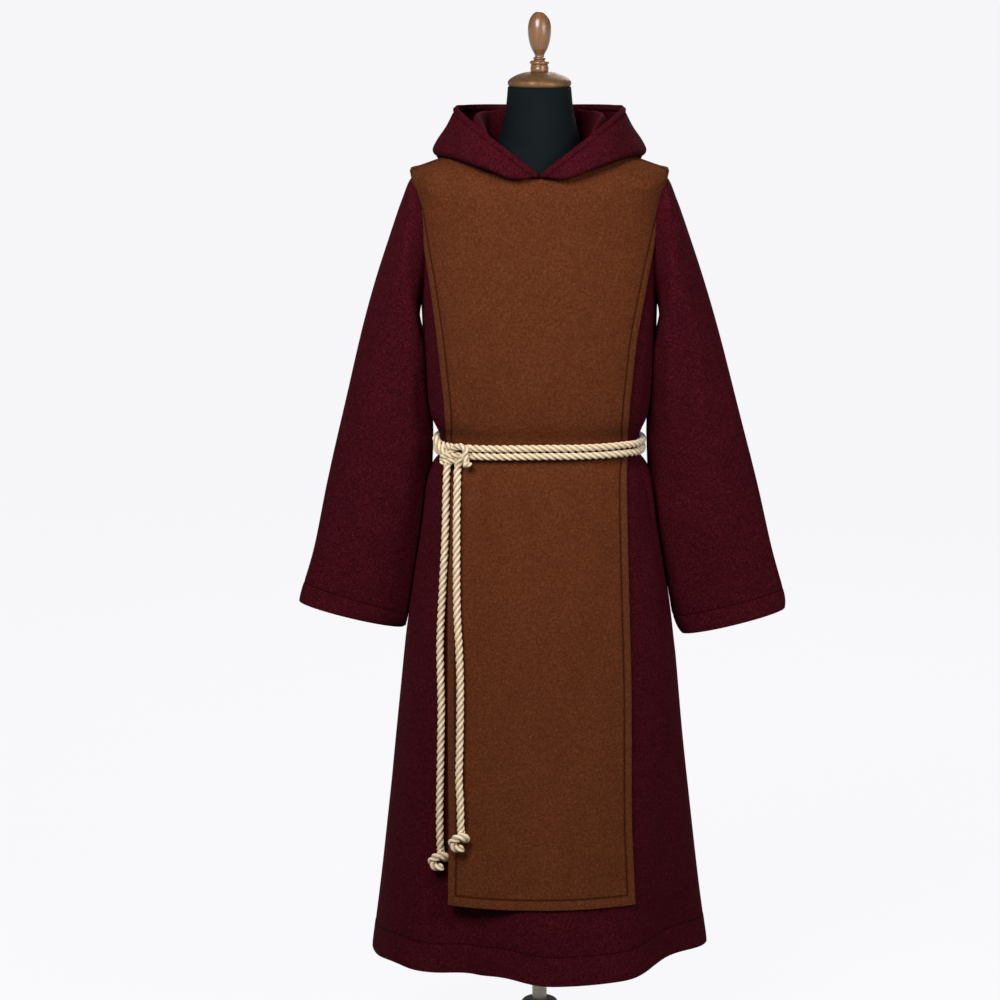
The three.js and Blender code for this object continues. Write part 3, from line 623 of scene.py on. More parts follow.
def new_material(name, colour, roughness):
    material = bpy.data.materials.new(name)
    material.use_nodes = True
    tree = material.node_tree
    shader = tree.nodes["Principled BSDF"]
    set_inputs(shader, Base_Color=(*colour, 1), Roughness=roughness)
    material.diffuse_color = (*colour, 1)
    return material, tree, shader


def set_inputs(shader, **inputs):
    """Numbers or colours of a shader's own sockets."""
    for key, value in inputs.items():
        shader.inputs[key.replace("_", " ")].default_value = value


def node(tree, kind, settings=None, **inputs):
    made = tree.nodes.new(kind)
    for key, value in (settings or {}).items():
        setattr(made, key, value)
    for key, value in inputs.items():
        socket = made.inputs[key.replace("_", " ")]
        if isinstance(value, bpy.types.NodeSocket):
            tree.links.new(value, socket)
        else:
            socket.default_value = value
    return made


def coordinates(tree, kind="Object", scale=(1, 1, 1)):
    source = node(tree, "ShaderNodeTexCoord")
    mapping = node(tree, "ShaderNodeMapping", Vector=source.outputs[kind])
    mapping.inputs["Scale"].default_value = scale
    return mapping.outputs["Vector"]


def noise(tree, vector, scale, detail=3.0, roughness=0.55, distortion=0.0):
    return node(tree, "ShaderNodeTexNoise", Vector=vector, Scale=scale, Detail=detail,
                Roughness=roughness, Distortion=distortion).outputs["Fac"]


def spread_of(tree, value, low, high, to_low=0.0, to_high=1.0):
    made = node(tree, "ShaderNodeMapRange", {"interpolation_type": "SMOOTHSTEP"}, Value=value)
    for key, number in zip(("From Min", "From Max", "To Min", "To Max"), (low, high, to_low, to_high)):
        made.inputs[key].default_value = number
    return made.outputs["Result"]


def mix(tree, factor, first, second, blend="MIX"):
    made = node(tree, "ShaderNodeMix", {"data_type": "RGBA", "blend_type": blend})
    for socket, value in ((made.inputs[0], factor), (made.inputs[6], first), (made.inputs[7], second)):
        if isinstance(value, bpy.types.NodeSocket):
            tree.links.new(value, socket)
        elif isinstance(value, tuple):
            socket.default_value = (*value, 1)
        else:
            socket.default_value = value
    return made.outputs[2]


def maths(tree, operation, first, second):
    made = node(tree, "ShaderNodeMath", {"operation": operation})
    for socket, value in zip(made.inputs, (first, second)):
        if isinstance(value, bpy.types.NodeSocket):
            tree.links.new(value, socket)
        else:
            socket.default_value = value
    return made.outputs[0]


def times(tree, value, factor):
    return maths(tree, "MULTIPLY", value, factor)


def bump(tree, shader, height, strength, distance):
    made = node(tree, "ShaderNodeBump", Strength=strength, Distance=distance, Height=height)
    tree.links.new(made.outputs["Normal"], shader.inputs["Normal"])


def wool(name, dark, middle, light, sheen_tint):
    """Heavy felted wool: blotchy dye, small flecks, soft fibres and a faint twill, with painted shade in
    stitched grooves and the hood's hollows and a painted highlight on hem bands.
    """
    material, tree, shader = new_material(name, middle, 0.95)
    place = coordinates(tree)
    blotch = spread_of(tree, noise(tree, place, 26, 4, 0.6), 0.32, 0.7)
    mottle = spread_of(tree, noise(tree, place, 240, 3, 0.6), 0.33, 0.68)
    fleck = noise(tree, coordinates(tree, scale=(1, 1, 0.55)), 520, 2, 0.6, 0.6)
    fleck = spread_of(tree, fleck, 0.54, 0.7)
    fibre = noise(tree, coordinates(tree, scale=(1, 1, 0.3)), 1700, 3, 0.7, 0.4)
    ground = mix(tree, times(tree, mottle, 0.95), middle, dark)
    ground = mix(tree, times(tree, blotch, 0.35), ground, dark)
    ground = mix(tree, times(tree, fleck, 0.62), ground, light)
    thread = coordinates(tree, "UV")
    twill = node(tree, "ShaderNodeTexWave", {"wave_type": "BANDS", "bands_direction": "DIAGONAL"},
                 Vector=thread, Scale=95.0, Distortion=2.2, Detail=2.0)
    twill.inputs["Detail Scale"].default_value = 3.0
    ground = mix(tree, times(tree, twill.outputs["Fac"], 0.10), ground, dark)
    # painted shade: the groove attribute darkens the cloth in stitched grooves and the hood's hollows
    mark = node(tree, "ShaderNodeAttribute", {"attribute_name": "groove"}).outputs["Fac"]
    shadow = tuple(c * 0.4 for c in dark)
    ground = mix(tree, times(tree, spread_of(tree, mark, 0.0, 1.0), 0.85), ground, shadow)
    # painted highlight: below 0 the groove attribute lightens the band of a hem
    hem = spread_of(tree, times(tree, mark, -1.0), 0.0, 1.0)
    ground = mix(tree, times(tree, hem, 0.45), ground, light)
    tree.links.new(ground, shader.inputs["Base Color"])
    height = maths(tree, "ADD", times(tree, fibre, 0.7), times(tree, mottle, 0.7))
    height = maths(tree, "ADD", height, times(tree, fleck, 0.4))
    height = maths(tree, "ADD", height, times(tree, twill.outputs["Fac"], 0.22))
    bump(tree, shader, height, 0.75, 0.0011)
    set_inputs(shader, Sheen_Weight=0.05, Sheen_Roughness=0.4, Sheen_Tint=(*sheen_tint, 1),
               Specular_IOR_Level=0.02)
    return material


def thread_material(name, colour):
    material, tree, shader = new_material(name, colour, 0.8)
    lines = noise(tree, coordinates(tree), 3000, 2, 0.6)
    darker = tuple(c * 0.6 for c in colour)
    tree.links.new(mix(tree, lines, darker, colour), shader.inputs["Base Color"])
    bump(tree, shader, lines, 0.4, 0.0003)
    set_inputs(shader, Specular_IOR_Level=0.02)
    return material


def rope_material():
    """Cream cotton: yarns along each strand, painted shade between the strands, a little fluff."""
    material, tree, shader = new_material("cotton_rope", (0.62, 0.5, 0.33), 0.85)
    uv = coordinates(tree, "UV")
    parts = node(tree, "ShaderNodeSeparateXYZ", Vector=uv)
    turns = maths(tree, "ADD", times(tree, parts.outputs[1], 27.0),
                  times(tree, parts.outputs[0], 210.0))
    yarn = maths(tree, "SINE", times(tree, turns, 2 * math.pi), 0.0)
    yarn = spread_of(tree, yarn, -1.0, 1.0)
    place = coordinates(tree)
    fluff = noise(tree, place, 1400, 3, 0.65, 0.5)
    tone = noise(tree, place, 60, 3, 0.6)
    groove = node(tree, "ShaderNodeAttribute", {"attribute_name": "groove"}).outputs["Fac"]
    colour = mix(tree, spread_of(tree, tone, 0.35, 0.65), (0.95, 0.79, 0.56), (0.87, 0.69, 0.46))
    colour = mix(tree, times(tree, yarn, 0.22), colour, (0.60, 0.44, 0.26))
    # painted shade between the strands, from the groove attribute
    colour = mix(tree, times(tree, groove, 0.8), colour, (0.30, 0.19, 0.085))
    lint = times(tree, spread_of(tree, fluff, 0.55, 0.75), 0.35)
    colour = mix(tree, lint, colour, (1.0, 0.90, 0.72))
    tree.links.new(colour, shader.inputs["Base Color"])
    height = maths(tree, "ADD", times(tree, yarn, -0.8), times(tree, fluff, 0.5))
    bump(tree, shader, height, 0.7, 0.0007)
    set_inputs(shader, Sheen_Weight=0.25, Sheen_Roughness=0.5, Specular_IOR_Level=0.25)
    return material


def jersey_material():
    """Black cotton jersey drawn over the form: fine ribs and faint lint."""
    material, tree, shader = new_material("black_jersey", (0.0085, 0.0135, 0.0155), 0.72)
    ribs = node(tree, "ShaderNodeTexWave", {"wave_type": "BANDS", "bands_direction": "X"},
                Vector=coordinates(tree, "UV"), Scale=170.0, Distortion=0.6, Detail=1.0)
    place = coordinates(tree)
    lint = spread_of(tree, noise(tree, place, 700, 3, 0.7, 1.2), 0.6, 0.78)
    tone = noise(tree, place, 30, 3, 0.6)
    colour = mix(tree, tone, (0.0012, 0.0032, 0.0041), (0.0030, 0.0060, 0.0072))
    colour = mix(tree, times(tree, lint, 0.35), colour, (0.012, 0.018, 0.020))
    tree.links.new(colour, shader.inputs["Base Color"])
    bump(tree, shader, ribs.outputs["Fac"], 0.35, 0.0004)
    set_inputs(shader, Specular_IOR_Level=0.08)
    return material


def wood_material():
    """Turned and varnished brown wood: long grain with pores, a clear coat."""
    material, tree, shader = new_material("varnished_wood", (0.27, 0.12, 0.045), 0.38)
    place = coordinates(tree, scale=(1, 1, 0.1))
    grain = node(tree, "ShaderNodeTexWave", {"wave_type": "BANDS", "bands_direction": "X"},
                 Vector=place, Scale=75.0, Distortion=5.0, Detail=3.0)
    grain.inputs["Detail Scale"].default_value = 2.0
    pores = spread_of(tree, noise(tree, coordinates(tree, scale=(1, 1, 0.06)), 1500, 3, 0.7), 0.55, 0.72)
    tone = noise(tree, coordinates(tree, scale=(1, 1, 0.25)), 70, 3, 0.6)
    colour = mix(tree, grain.outputs["Fac"], (0.165, 0.068, 0.019), (0.110, 0.042, 0.011))
    colour = mix(tree, times(tree, tone, 0.45), colour, (0.25, 0.125, 0.046))
    colour = mix(tree, times(tree, pores, 0.5), colour, (0.07, 0.028, 0.011))
    tree.links.new(colour, shader.inputs["Base Color"])
    rough = spread_of(tree, tone, 0.3, 0.7, 0.32, 0.48)
    tree.links.new(rough, shader.inputs["Roughness"])
    bump(tree, shader, pores, -0.15, 0.0003)
    set_inputs(shader, Coat_Weight=0.5, Coat_Roughness=0.2)
    return material


def bronze_material():
    """Antique bronze: dark patina with rubbed, lighter places."""
    material, tree, shader = new_material("antique_bronze", (0.42, 0.27, 0.15), 0.34)
    place = coordinates(tree)
    patina = spread_of(tree, noise(tree, place, 95, 5, 0.62, 0.6), 0.38, 0.66)
    fine = noise(tree, coordinates(tree, scale=(1, 1, 6)), 500, 3, 0.6)
    colour = mix(tree, patina, (0.185, 0.096, 0.038), (0.120, 0.060, 0.023))
    tree.links.new(colour, shader.inputs["Base Color"])
    rough = maths(tree, "ADD", spread_of(tree, patina, 0.0, 1.0, 0.46, 0.56),
                  times(tree, fine, 0.1))
    tree.links.new(rough, shader.inputs["Roughness"])
    bump(tree, shader, maths(tree, "ADD", times(tree, patina, -0.5), fine), 0.12, 0.0004)
    set_inputs(shader, Metallic=0.55)
    return material


def steel_material():
    """Warm grey paint on steel: fine orange peel and slight dust in long upright patches."""
    material, tree, shader = new_material("painted_steel", (0.33, 0.30, 0.235), 0.42)
    place = coordinates(tree)
    peel = noise(tree, place, 420, 2, 0.5)
    tone = noise(tree, place, 18, 4, 0.6)
    rub = spread_of(tree, noise(tree, coordinates(tree, scale=(1, 1, 0.15)), 260, 4, 0.7), 0.62, 0.74)
    colour = mix(tree, tone, (0.86, 0.80, 0.64), (0.78, 0.72, 0.57))
    colour = mix(tree, times(tree, rub, 0.4), colour, (0.78, 0.74, 0.62))
    tree.links.new(colour, shader.inputs["Base Color"])
    tree.links.new(spread_of(tree, tone, 0.3, 0.7, 0.36, 0.52), shader.inputs["Roughness"])
    bump(tree, shader, peel, 0.1, 0.0003)
    set_inputs(shader, Metallic=0.1)
    return material


ROBE = wool("burgundy_wool", (0.026, 0.0018, 0.0040), (0.058, 0.0044, 0.0092),
            (0.120, 0.016, 0.026), (0.42, 0.05, 0.09))
BROWN = wool("brown_wool", (0.068, 0.0172, 0.0058), (0.116, 0.0325, 0.0118),
             (0.180, 0.062, 0.026), (0.50, 0.20, 0.08))
ROBE_THREAD = thread_material("burgundy_thread", (0.016, 0.0014, 0.003))
BROWN_THREAD = thread_material("brown_thread", (0.034, 0.0085, 0.003))
ROPE_LOOK = rope_material()
JERSEY = jersey_material()
WOOD = wood_material()
BRONZE = bronze_material()
STEEL = steel_material()

floor_material, floor_tree, floor_shader = new_material("pale_floor", (0.1, 0.1, 0.1), 0.9)
floor_grain = noise(floor_tree, coordinates(floor_tree), 3, 3, 0.5)
floor_tree.links.new(mix(floor_tree, floor_grain, (0.036, 0.036, 0.036), (0.044, 0.044, 0.044)),
                     floor_shader.inputs["Base Color"])
set_inputs(floor_shader, Emission_Color=(0.917, 0.917, 0.934, 1), Emission_Strength=1.0,
           Specular_IOR_Level=0.0)
bpy.ops.mesh.primitive_circle_add(vertices=96, radius=180, fill_type="TRIFAN", location=(0, 0, -0.0005))
floor = bpy.context.object
floor.name = "floor"
floor.data.materials.append(floor_material)
floor.visible_diffuse = False

# ---------------------------------------------------------------- rope belt: places


def belt_point(degrees, rise):
    turned = (np.asarray(degrees, float) + 540) % 360 - 180
    height = BELT_HEIGHT + np.interp(turned, BELT_COURSE[:, 0], BELT_COURSE[:, 1]) + rise
    out = np.interp(turned, BELT_COURSE[:, 0], BELT_COURSE[:, 2])
    return body_point(turned, ring_at(height), out, False)


knot_middle = belt_point(KNOT_ANGLE, 0)
knot_along = belt_point(KNOT_ANGLE + 1, 0) - belt_point(KNOT_ANGLE - 1, 0)
knot_along[2] = 0
knot_along = unit(knot_along)
knot_out = np.array([knot_along[1], -knot_along[0], 0])


def knot_place(spot):
    """A place on the knot: along the belt to the wearer's left, out, and up."""
    along, out, up = spot
    return knot_middle + knot_along * along + knot_out * out + np.array([0, 0, up])


# ---------------------------------------------------------------- cords: the two tails

# The rope of an end knot, from the tail's end: along x, out to the front, and up. It goes
# behind, turns over the front and leaves at the bottom.
END_KNOT = [
    (0, 0, 4), (0, 0, -2), (0.5, -3, -7), (3.5, -4, -11), (8, -1, -12), (9, 3.5, -10),
    (6.5, 7.5, -8), (0, 9, -7), (-7, 8.5, -9), (-13.5, 4.5, -14.5), (-14, 4, -20.5),
    (-11, 5, -25.5), (-5, 5, -28), (0.5, 4.5, -27.5), (4.5, 4, -26),
]


def add_tail(name, route, root):
    """One tail of the belt from the knot down, and the overhand knot that ends it."""
    inside = knot_place(root)
    line = smooth_line([inside, *route], 2.2)
    cloth = Cloth()
    add_tube(cloth, line, rope_radius(1.04, phase=0.4))
    tail = cloth.build(name + "_rope", [ROPE_LOOK], [name])
    end_knot = Cloth()
    end = np.array(route[-1], float)
    turns = [end + np.array([across, -out, up]) for across, out, up in END_KNOT]
    add_tube(end_knot, smooth_line(turns, 1.6), rope_radius(1.16, round_ends=(3, 3.5)))
    knot = end_knot.build(name + "_overhand", [ROPE_LOOK], [name + "_knot"])


add_tail("tail_right", RIGHT_TAIL, (-13, 2, -10))
add_tail("tail_left", LEFT_TAIL, (9, 5, -4))

# ---------------------------------------------------------------- robe

BODY_COLUMNS = 141
CLOTH_CELL = 7.4  # length of a cell of the robe's mesh
# Gathers above and below the belt and drag lines at the underarm: place round the body in
# degrees, z, end degrees, end z, half width (mm), height (mm).
ROBE_CREASES = [
    (-74, 1074, -82, 900, 7, -3.2), (-88, 1076, -92, 760, 10, -4.0), (-103, 1074, -101, 930, 7, -2.6),
    (-64, 1070, -67, 960, 6, -2.2), (-96, 1072, -108, 690, 13, 3.2), (-79, 1070, -74, 640, 12, 2.4),
    (-118, 1072, -124, 870, 8, -2.8), (-134, 1073, -139, 720, 12, -3.0),
    (66, 1072, 70, 930, 7, -2.4), (80, 1076, 84, 800, 9, -3.6), (95, 1074, 92, 880, 7, -2.8),
    (73, 1070, 80, 620, 13, 2.8), (107, 1072, 114, 760, 11, -3.4), (122, 1073, 119, 900, 8, -2.4),
    (136, 1072, 143, 700, 12, -2.8), (88, 1060, 96, 640, 13, 2.6),
    (-72, 1108, -68, 1205, 6, -2.2), (-86, 1108, -90, 1240, 8, -2.8), (-106, 1110, -100, 1215, 7, -2.4),
    (-122, 1110, -127, 1290, 10, -2.6), (70, 1108, 65, 1220, 7, -2.4), (84, 1108, 88, 1225, 8, -2.6),
    (101, 1110, 97, 1260, 8, -2.2), (119, 1110, 126, 1270, 10, -2.8),
    (-84, 1300, -70, 1395, 10, -3.0), (82, 1310, 68, 1400, 10, -2.8),
    (-100, 1310, -118, 1420, 10, -2.6), (98, 1300, 120, 1410, 10, -3.0),
    (-48, 560, -50, 260, 20, 2.2), (34, 430, 36, 230, 18, 1.6), (-8, 420, -6, 225, 22, 1.8),
]
SMALL_RADIUS = 200.0  # turns degrees into mm for creases round the body


def robe_relief(degrees, z, distance):
    """Height of the robe's cloth over its smooth surface, in mm."""
    u = np.radians(degrees) * SMALL_RADIUS
    # still over the form's shoulders, low under the scapular, the belt and beside the arms
    off_form = 1 - fade(z, 1330, 1450)
    covered = fade(z, 320, 360) * (np.abs(np.abs(degrees) - 90) > 42)
    creases = crease_field(u, z, creases_round(ROBE_CREASES, SMALL_RADIUS))
    relief = creases + waviness(u, z, 0.9, 3) * off_form
    relief = np.where(covered, np.clip(relief, -2.5, 1.0), relief)
    near_belt = gauss(z - BELT_HEIGHT, 26)
    relief = relief * (1 - 0.85 * near_belt)
    beside_arm = gauss(np.abs(degrees) - 90, 13) * fade(z, 700, 760) * (1 - fade(z, 1240, 1300))
    relief = relief * (1 - beside_arm) + np.clip(relief, -1.2, 0.5) * beside_arm
    # beside the arms the cloth swells over the belt and under it
    swell = 5.0 * gauss(z - 1114, 12) + 3.0 * gauss(z - 1058, 14)
    return relief + swell * gauss(np.abs(degrees) - 90, 24) + hem_profile(distance, HEM_STITCH)


def keep_to_half(points, is_back):
    """Keeps a panel's points on its own side of the side and shoulder seams."""
    y = points[..., 1]
    points[..., 1] = np.maximum(y, SEAM / 2) if is_back else np.minimum(y, -SEAM / 2)
    return points


def bvh_of(grid):
    rows, columns = grid.shape[:2]
    quads, _ = grid_quads(rows, columns, True)
    return BVHTree.FromPolygons(grid.reshape(-1, 3).tolist(), quads.tolist())


def depth_in(tree, point):
    """How far a point is behind a surface, less than 0 where it is in front."""
    place, normal, _, _ = tree.find_nearest(Vector(point))
    return (place - Vector(point)).dot(normal)


body_rings = np.linspace(0, NECK_RING, 121)
body_tree = bvh_of(body_surface(np.arange(-180, 180, 2.5)[None, :], body_rings[:, None], False))


def body_reach(y, z):
    """How far the body's side reaches along x at a given y and height."""
    cells = spline(BODY_RINGS, ring_at(z))
    depth = np.where(y < 0, cells[..., 2], cells[..., 4])
    share = np.clip(np.abs(y) / depth, 0, 1) ** cells[..., 6]
    return cells[..., 0] * (1 - share) ** (1 / cells[..., 6])


def sleeve_surface(side, row, alpha, out=0.0, air=BESIDE_BODY):
    """The right or left sleeve's tube: alpha 0 is its outer edge, 90 its back."""
    cells = spline(SLEEVE_RINGS, row)
    extra = 1.0 if side > 0 else 0.0
    drop = extra * cells[..., 8]
    outer_x, outer_z = cells[..., 0] + extra * cells[..., 6], cells[..., 1] - drop
    inner_x, inner_z = cells[..., 2] + extra * cells[..., 7], cells[..., 3] - drop
    middle_x, middle_z = (outer_x + inner_x) / 2, (outer_z + inner_z) / 2
    half_x, half_z = outer_x - middle_x, outer_z - middle_z
    grow = 1 + out / np.hypot(half_x, half_z)
    along, across = np.cos(np.radians(alpha)), np.sin(np.radians(alpha))
    y, z = cells[..., 5] + (cells[..., 4] + out) * across, middle_z + half_z * grow * along
    nearest = np.where(np.asarray(row) < FREE_ROW, 0, body_reach(y, z) + air)
    tuck = UNDERARM_TUCK * gauss(np.asarray(row) - UNDERARM_ROW, 1.0) * np.clip(-along, 0, 1) ** 1.4
    return np.stack([side * np.maximum(middle_x + half_x * grow * along - tuck, nearest), y, z], axis=-1)


ARMHOLE_MARGIN = 5.0  # how far the robe reaches into the sleeve's head
ARMHOLE_X = 160
ARMHOLE_HEIGHTS = (1200, 1530)


def in_sleeve(points, side):
    """Which points lie inside a sleeve's head, where the robe is cut away."""
    rows = np.linspace(0.0, 4.0, 30)
    alpha = np.arange(0, 360, 7.5)
    tube = sleeve_surface(side, rows[:, None], alpha[None, :], -ARMHOLE_MARGIN)
    tree = bvh_of(tube)
    inward = np.sign(depth_in(tree, tube[12].mean(axis=0)))
    found = np.zeros(len(points), bool)
    low, high = ARMHOLE_HEIGHTS
    near = (points[:, 0] * side > ARMHOLE_X) & (points[:, 2] > low) & (points[:, 2] < high)
    for i in np.flatnonzero(near):
        found[i] = depth_in(tree, points[i]) * inward > 0
    return found


def add_robe_panel(name, is_back):
    degrees = np.linspace(90, 270, BODY_COLUMNS) if is_back else np.linspace(-90, 90, BODY_COLUMNS)
    fine_rings = np.linspace(0, NECK_RING, 501)
    fine = body_surface(degrees[None, :], fine_rings[:, None])
    run = lengths(fine)
    marks = stations(edge_marks(HEM_STITCH, 78), run[-1], CLOTH_CELL)
    rings = rows_at(marks, run, fine_rings)
    angle = np.broadcast_to(degrees[None, :], rings.shape)
    base = body_surface(angle, rings)
    normal = body_normal(angle, rings)
    turned = (angle + 180) % 360 - 180
    relief = robe_relief(turned, base[..., 2], marks.T)

    def surface(out):
        return keep_to_half(base + normal * out[..., None], is_back)

    outer, inner = surface(relief), surface(np.minimum(relief, 1.0) - WOOL)
    around = lengths(base, axis=1)
    uv = uv_grid((around - around[:, [BODY_COLUMNS // 2]]) * MM, marks.T * MM)
    centres = (outer[:-1, :-1] + outer[1:, 1:]) / 2
    cut = in_sleeve(centres.reshape(-1, 3), 1) | in_sleeve(centres.reshape(-1, 3), -1)
    cloth = Cloth()
    # groove: painted shade along the hem's stitching and a painted highlight on its band
    add_shell(cloth, outer, inner, uv, keep=~cut.reshape(centres.shape[:2]),
              groove=hem_painted_shade_and_light(marks.T, HEM_STITCH, 0.6, 0.12))
    row = nearest(marks[0], HEM_STITCH)
    add_stitches(cloth, outer[row], normal[row])
    return cloth.build(name + "_cloth", [ROBE, ROBE_THREAD], [name])


robe_front = add_robe_panel("robe_front", False)
robe_back = add_robe_panel("robe_back", True)

# ---------------------------------------------------------------- sleeves

SLEEVE_COLUMNS = 96
# Folds along the sleeves: alpha, distance from the cuff, end alpha, end distance, half
# width (mm), height (mm). Alpha 0 is the outer edge, -90 the front, 180 the inner edge.
SLEEVE_CREASES = {
    -1: [(-62, 650, -70, 300, 16, 4.2), (-100, 560, -96, 180, 20, -2.4), (-128, 470, -150, 330, 14, -5.0),
         (-150, 560, -118, 470, 13, -4.2), (-40, 420, -48, 60, 24, -2.0), (60, 600, 72, 240, 18, 3.8),
         (104, 560, 96, 200, 20, -3.4), (140, 480, 160, 340, 14, -4.6), (30, 360, 38, 80, 22, -2.2),
         (-84, 330, -80, 50, 26, 2.2), (120, 330, 116, 60, 24, 2.4), (150, 570, 128, 440, 12, -3.2)],
    1: [(-64, 660, -74, 330, 15, 4.0), (-98, 540, -102, 200, 20, -2.6), (-132, 480, -146, 320, 14, -4.4),
        (-148, 570, -122, 450, 13, -4.6), (-44, 400, -38, 70, 24, -2.2), (66, 620, 60, 270, 18, 3.4),
        (98, 540, 108, 190, 20, -3.0), (144, 470, 156, 350, 14, -4.8), (34, 380, 28, 100, 22, -2.0),
        (-86, 310, -90, 60, 26, 2.0), (118, 340, 122, 70, 24, 2.2), (146, 560, 124, 450, 12, -3.6)],
}
SLEEVE_RADIUS = 78.0  # turns degrees into mm for creases round a sleeve
SLEEVE_CELL = 6.6
SLEEVE_ROUND = 0.49  # of the texture round a sleeve, in metres
SLEEVE_HEAD = 120  # fine row from which a sleeve may end at the body


def add_sleeve(name, side):
    alpha = np.arange(SLEEVE_COLUMNS) * 360 / SLEEVE_COLUMNS
    fine_rows = np.linspace(len(SLEEVE_RINGS) - 1, 0, 401)
    fine = sleeve_surface(side, fine_rows[:, None], alpha[None, :])
    run = lengths(fine)
    total = np.zeros(SLEEVE_COLUMNS)
    for c in range(SLEEVE_COLUMNS):
        i = SLEEVE_HEAD
        while i < 400 and depth_in(body_tree, fine[i, c]) < 0.6:
            i += 2
        total[c] = run[i, c]
    smooth = np.stack([np.roll(total, k) for k in (-2, -1, 0, 1, 2)])
    total = smooth.mean(axis=0) + 1.5
    marks = stations(edge_marks(CUFF_STITCH, 60), total, SLEEVE_CELL)
    rows = rows_at(marks, run, fine_rows)
    distance = marks.T
    signed = (alpha + 180) % 360 - 180
    u = np.broadcast_to(np.radians(signed) * SLEEVE_RADIUS, distance.shape)
    head = 1 - fade(distance, total[None, :] - 40, total[None, :] - 4)
    creases = crease_field(u, distance, creases_round(SLEEVE_CREASES[side], SLEEVE_RADIUS))
    relief = (creases + waviness(u, distance, 0.8, 11 + side)) * head
    relief = relief * (fade(distance, 0, 120) * 0.8 + 0.2)
    beside_body = gauss(180 - np.abs(signed), 20)[None, :]
    relief = relief * (1 - beside_body) + 1.6 * beside_body * head + hem_profile(distance, CUFF_STITCH)
    angle = np.broadcast_to(alpha[None, :], rows.shape)
    outer = sleeve_surface(side, rows, angle, relief)
    inner = sleeve_surface(side, rows, angle, relief - WOOL - hem_profile(distance, CUFF_STITCH) * 0.4,
                           BESIDE_BODY + WOOL)
    wide = np.arange(SLEEVE_COLUMNS + 1) / SLEEVE_COLUMNS
    along = np.concatenate([distance, distance[:, :1]], axis=1)
    uv = uv_grid(wide[None, :] * SLEEVE_ROUND, along * MM)
    cloth = Cloth()
    # groove: painted shade along the cuff's stitching and a painted highlight on its band
    add_shell(cloth, outer, inner, uv, wrap=True, groove=hem_painted_shade_and_light(distance, CUFF_STITCH, 0.6, 0.12))
    row = nearest(marks[0], CUFF_STITCH)
    line = np.concatenate([outer[row], outer[row][:1]])
    away = unit(outer[row] - inner[row])
    add_stitches(cloth, line, np.concatenate([away, away[:1]]))
    return cloth.build(name + "_cloth", [ROBE, ROBE_THREAD], [name])


sleeve_left = add_sleeve("sleeve_left", 1)
sleeve_right = add_sleeve("sleeve_right", -1)

# ---------------------------------------------------------------- scapular

# Soft pulls by the belt and slow hanging folds: x, z, end x, end z, half width, height.
FRONT_PULLS = [
    (-120, 1118, -112, 1235, 10, -1.6), (-88, 1116, -74, 1190, 8, -1.2), (-30, 1114, -36, 1210, 12, -1.2),
    (42, 1114, 50, 1225, 11, -1.4), (96, 1116, 110, 1260, 11, -1.8), (128, 1116, 132, 1200, 7, -1.4),
    (-104, 1066, -112, 930, 12, -1.8), (-58, 1068, -52, 960, 10, -1.3), (14, 1068, 8, 900, 13, -1.3),
    (74, 1068, 80, 930, 11, -1.6), (118, 1066, 122, 850, 13, -1.8),
    (-60, 900, -76, 420, 34, 1.5), (66, 860, 84, 380, 36, 1.6), (0, 700, 10, 340, 30, -1.2),
    (-20, 1440, -60, 1260, 26, 1.0), (30, 1430, 74, 1280, 26, 1.0),
]
BACK_PULLS = [
    (-112, 1116, -104, 1240, 11, -1.8), (-60, 1114, -70, 1200, 9, -1.4), (4, 1114, 0, 1235, 12, -1.5),
    (58, 1114, 70, 1205, 10, -1.5), (116, 1116, 108, 1250, 11, -1.8),
    (-100, 1066, -110, 900, 12, -2.0), (-34, 1068, -28, 940, 11, -1.5), (30, 1068, 26, 880, 12, -1.5),
    (98, 1066, 108, 900, 12, -1.9), (-70, 880, -84, 420, 36, 1.8), (60, 860, 74, 400, 34, 1.6),
    (0, 760, -12, 380, 30, -1.4),
]


SCAPULAR_CELL = 7.2
SCAPULAR_TOP = NECK_RING - 0.3  # the ring where it ends under the hood
# The scapular stands out at the shoulders' outer corners: place, reach and rise there.
CORNER_X = 218.0
CORNER_Z = 1547.0
CORNER_SIZE = 15.0
CORNER_RISE = np.array([2.5, 0, 16.0])


def scapular_grid(is_back, edges):
    """Angles and rings of a panel's points, and their distances from its left and bottom edges."""
    bottom = float(ring_at(edges[0, 0]))
    fine_rings = np.linspace(bottom, SCAPULAR_TOP, 401)
    run = lengths(body_surface(np.full(401, 180.0 if is_back else 0.0), fine_rings, False))
    heights = stations(edge_marks(BOTTOM_STITCH, 40), np.array([run[-1]]), SCAPULAR_CELL)[0]
    rings = np.interp(heights, run, fine_rings)
    z = spline(BODY_RINGS, rings)[:, 1]
    reach = []
    for column, sign in ((1, -1), (2, 1)):
        found = angle_at_x(np.interp(z, edges[:, 0], edges[:, column]), rings, is_back)
        reach.append(np.where(rings >= CORNER_RING, sign * 90.0, found))
    across = np.linspace(0, 1, 301)
    wide = reach[0][:, None] + (reach[1] - reach[0])[:, None] * across[None, :]
    fine = body_surface(180 - wide if is_back else wide, rings[:, None], False)
    over = lengths(fine, axis=1)
    marks = stations(edge_marks(BORDER_STITCH, 34), over[:, -1] / 2, CLOTH_CELL)
    marks = np.concatenate([marks, over[:, -1:] - marks[:, -2::-1]], axis=1)
    share = np.stack([np.interp(marks[r], over[r], across) for r in range(len(rings))])
    angle = reach[0][:, None] + (reach[1] - reach[0])[:, None] * share
    degrees = 180 - angle if is_back else angle
    return degrees, np.broadcast_to(rings[:, None], degrees.shape), marks, over[:, -1:], heights


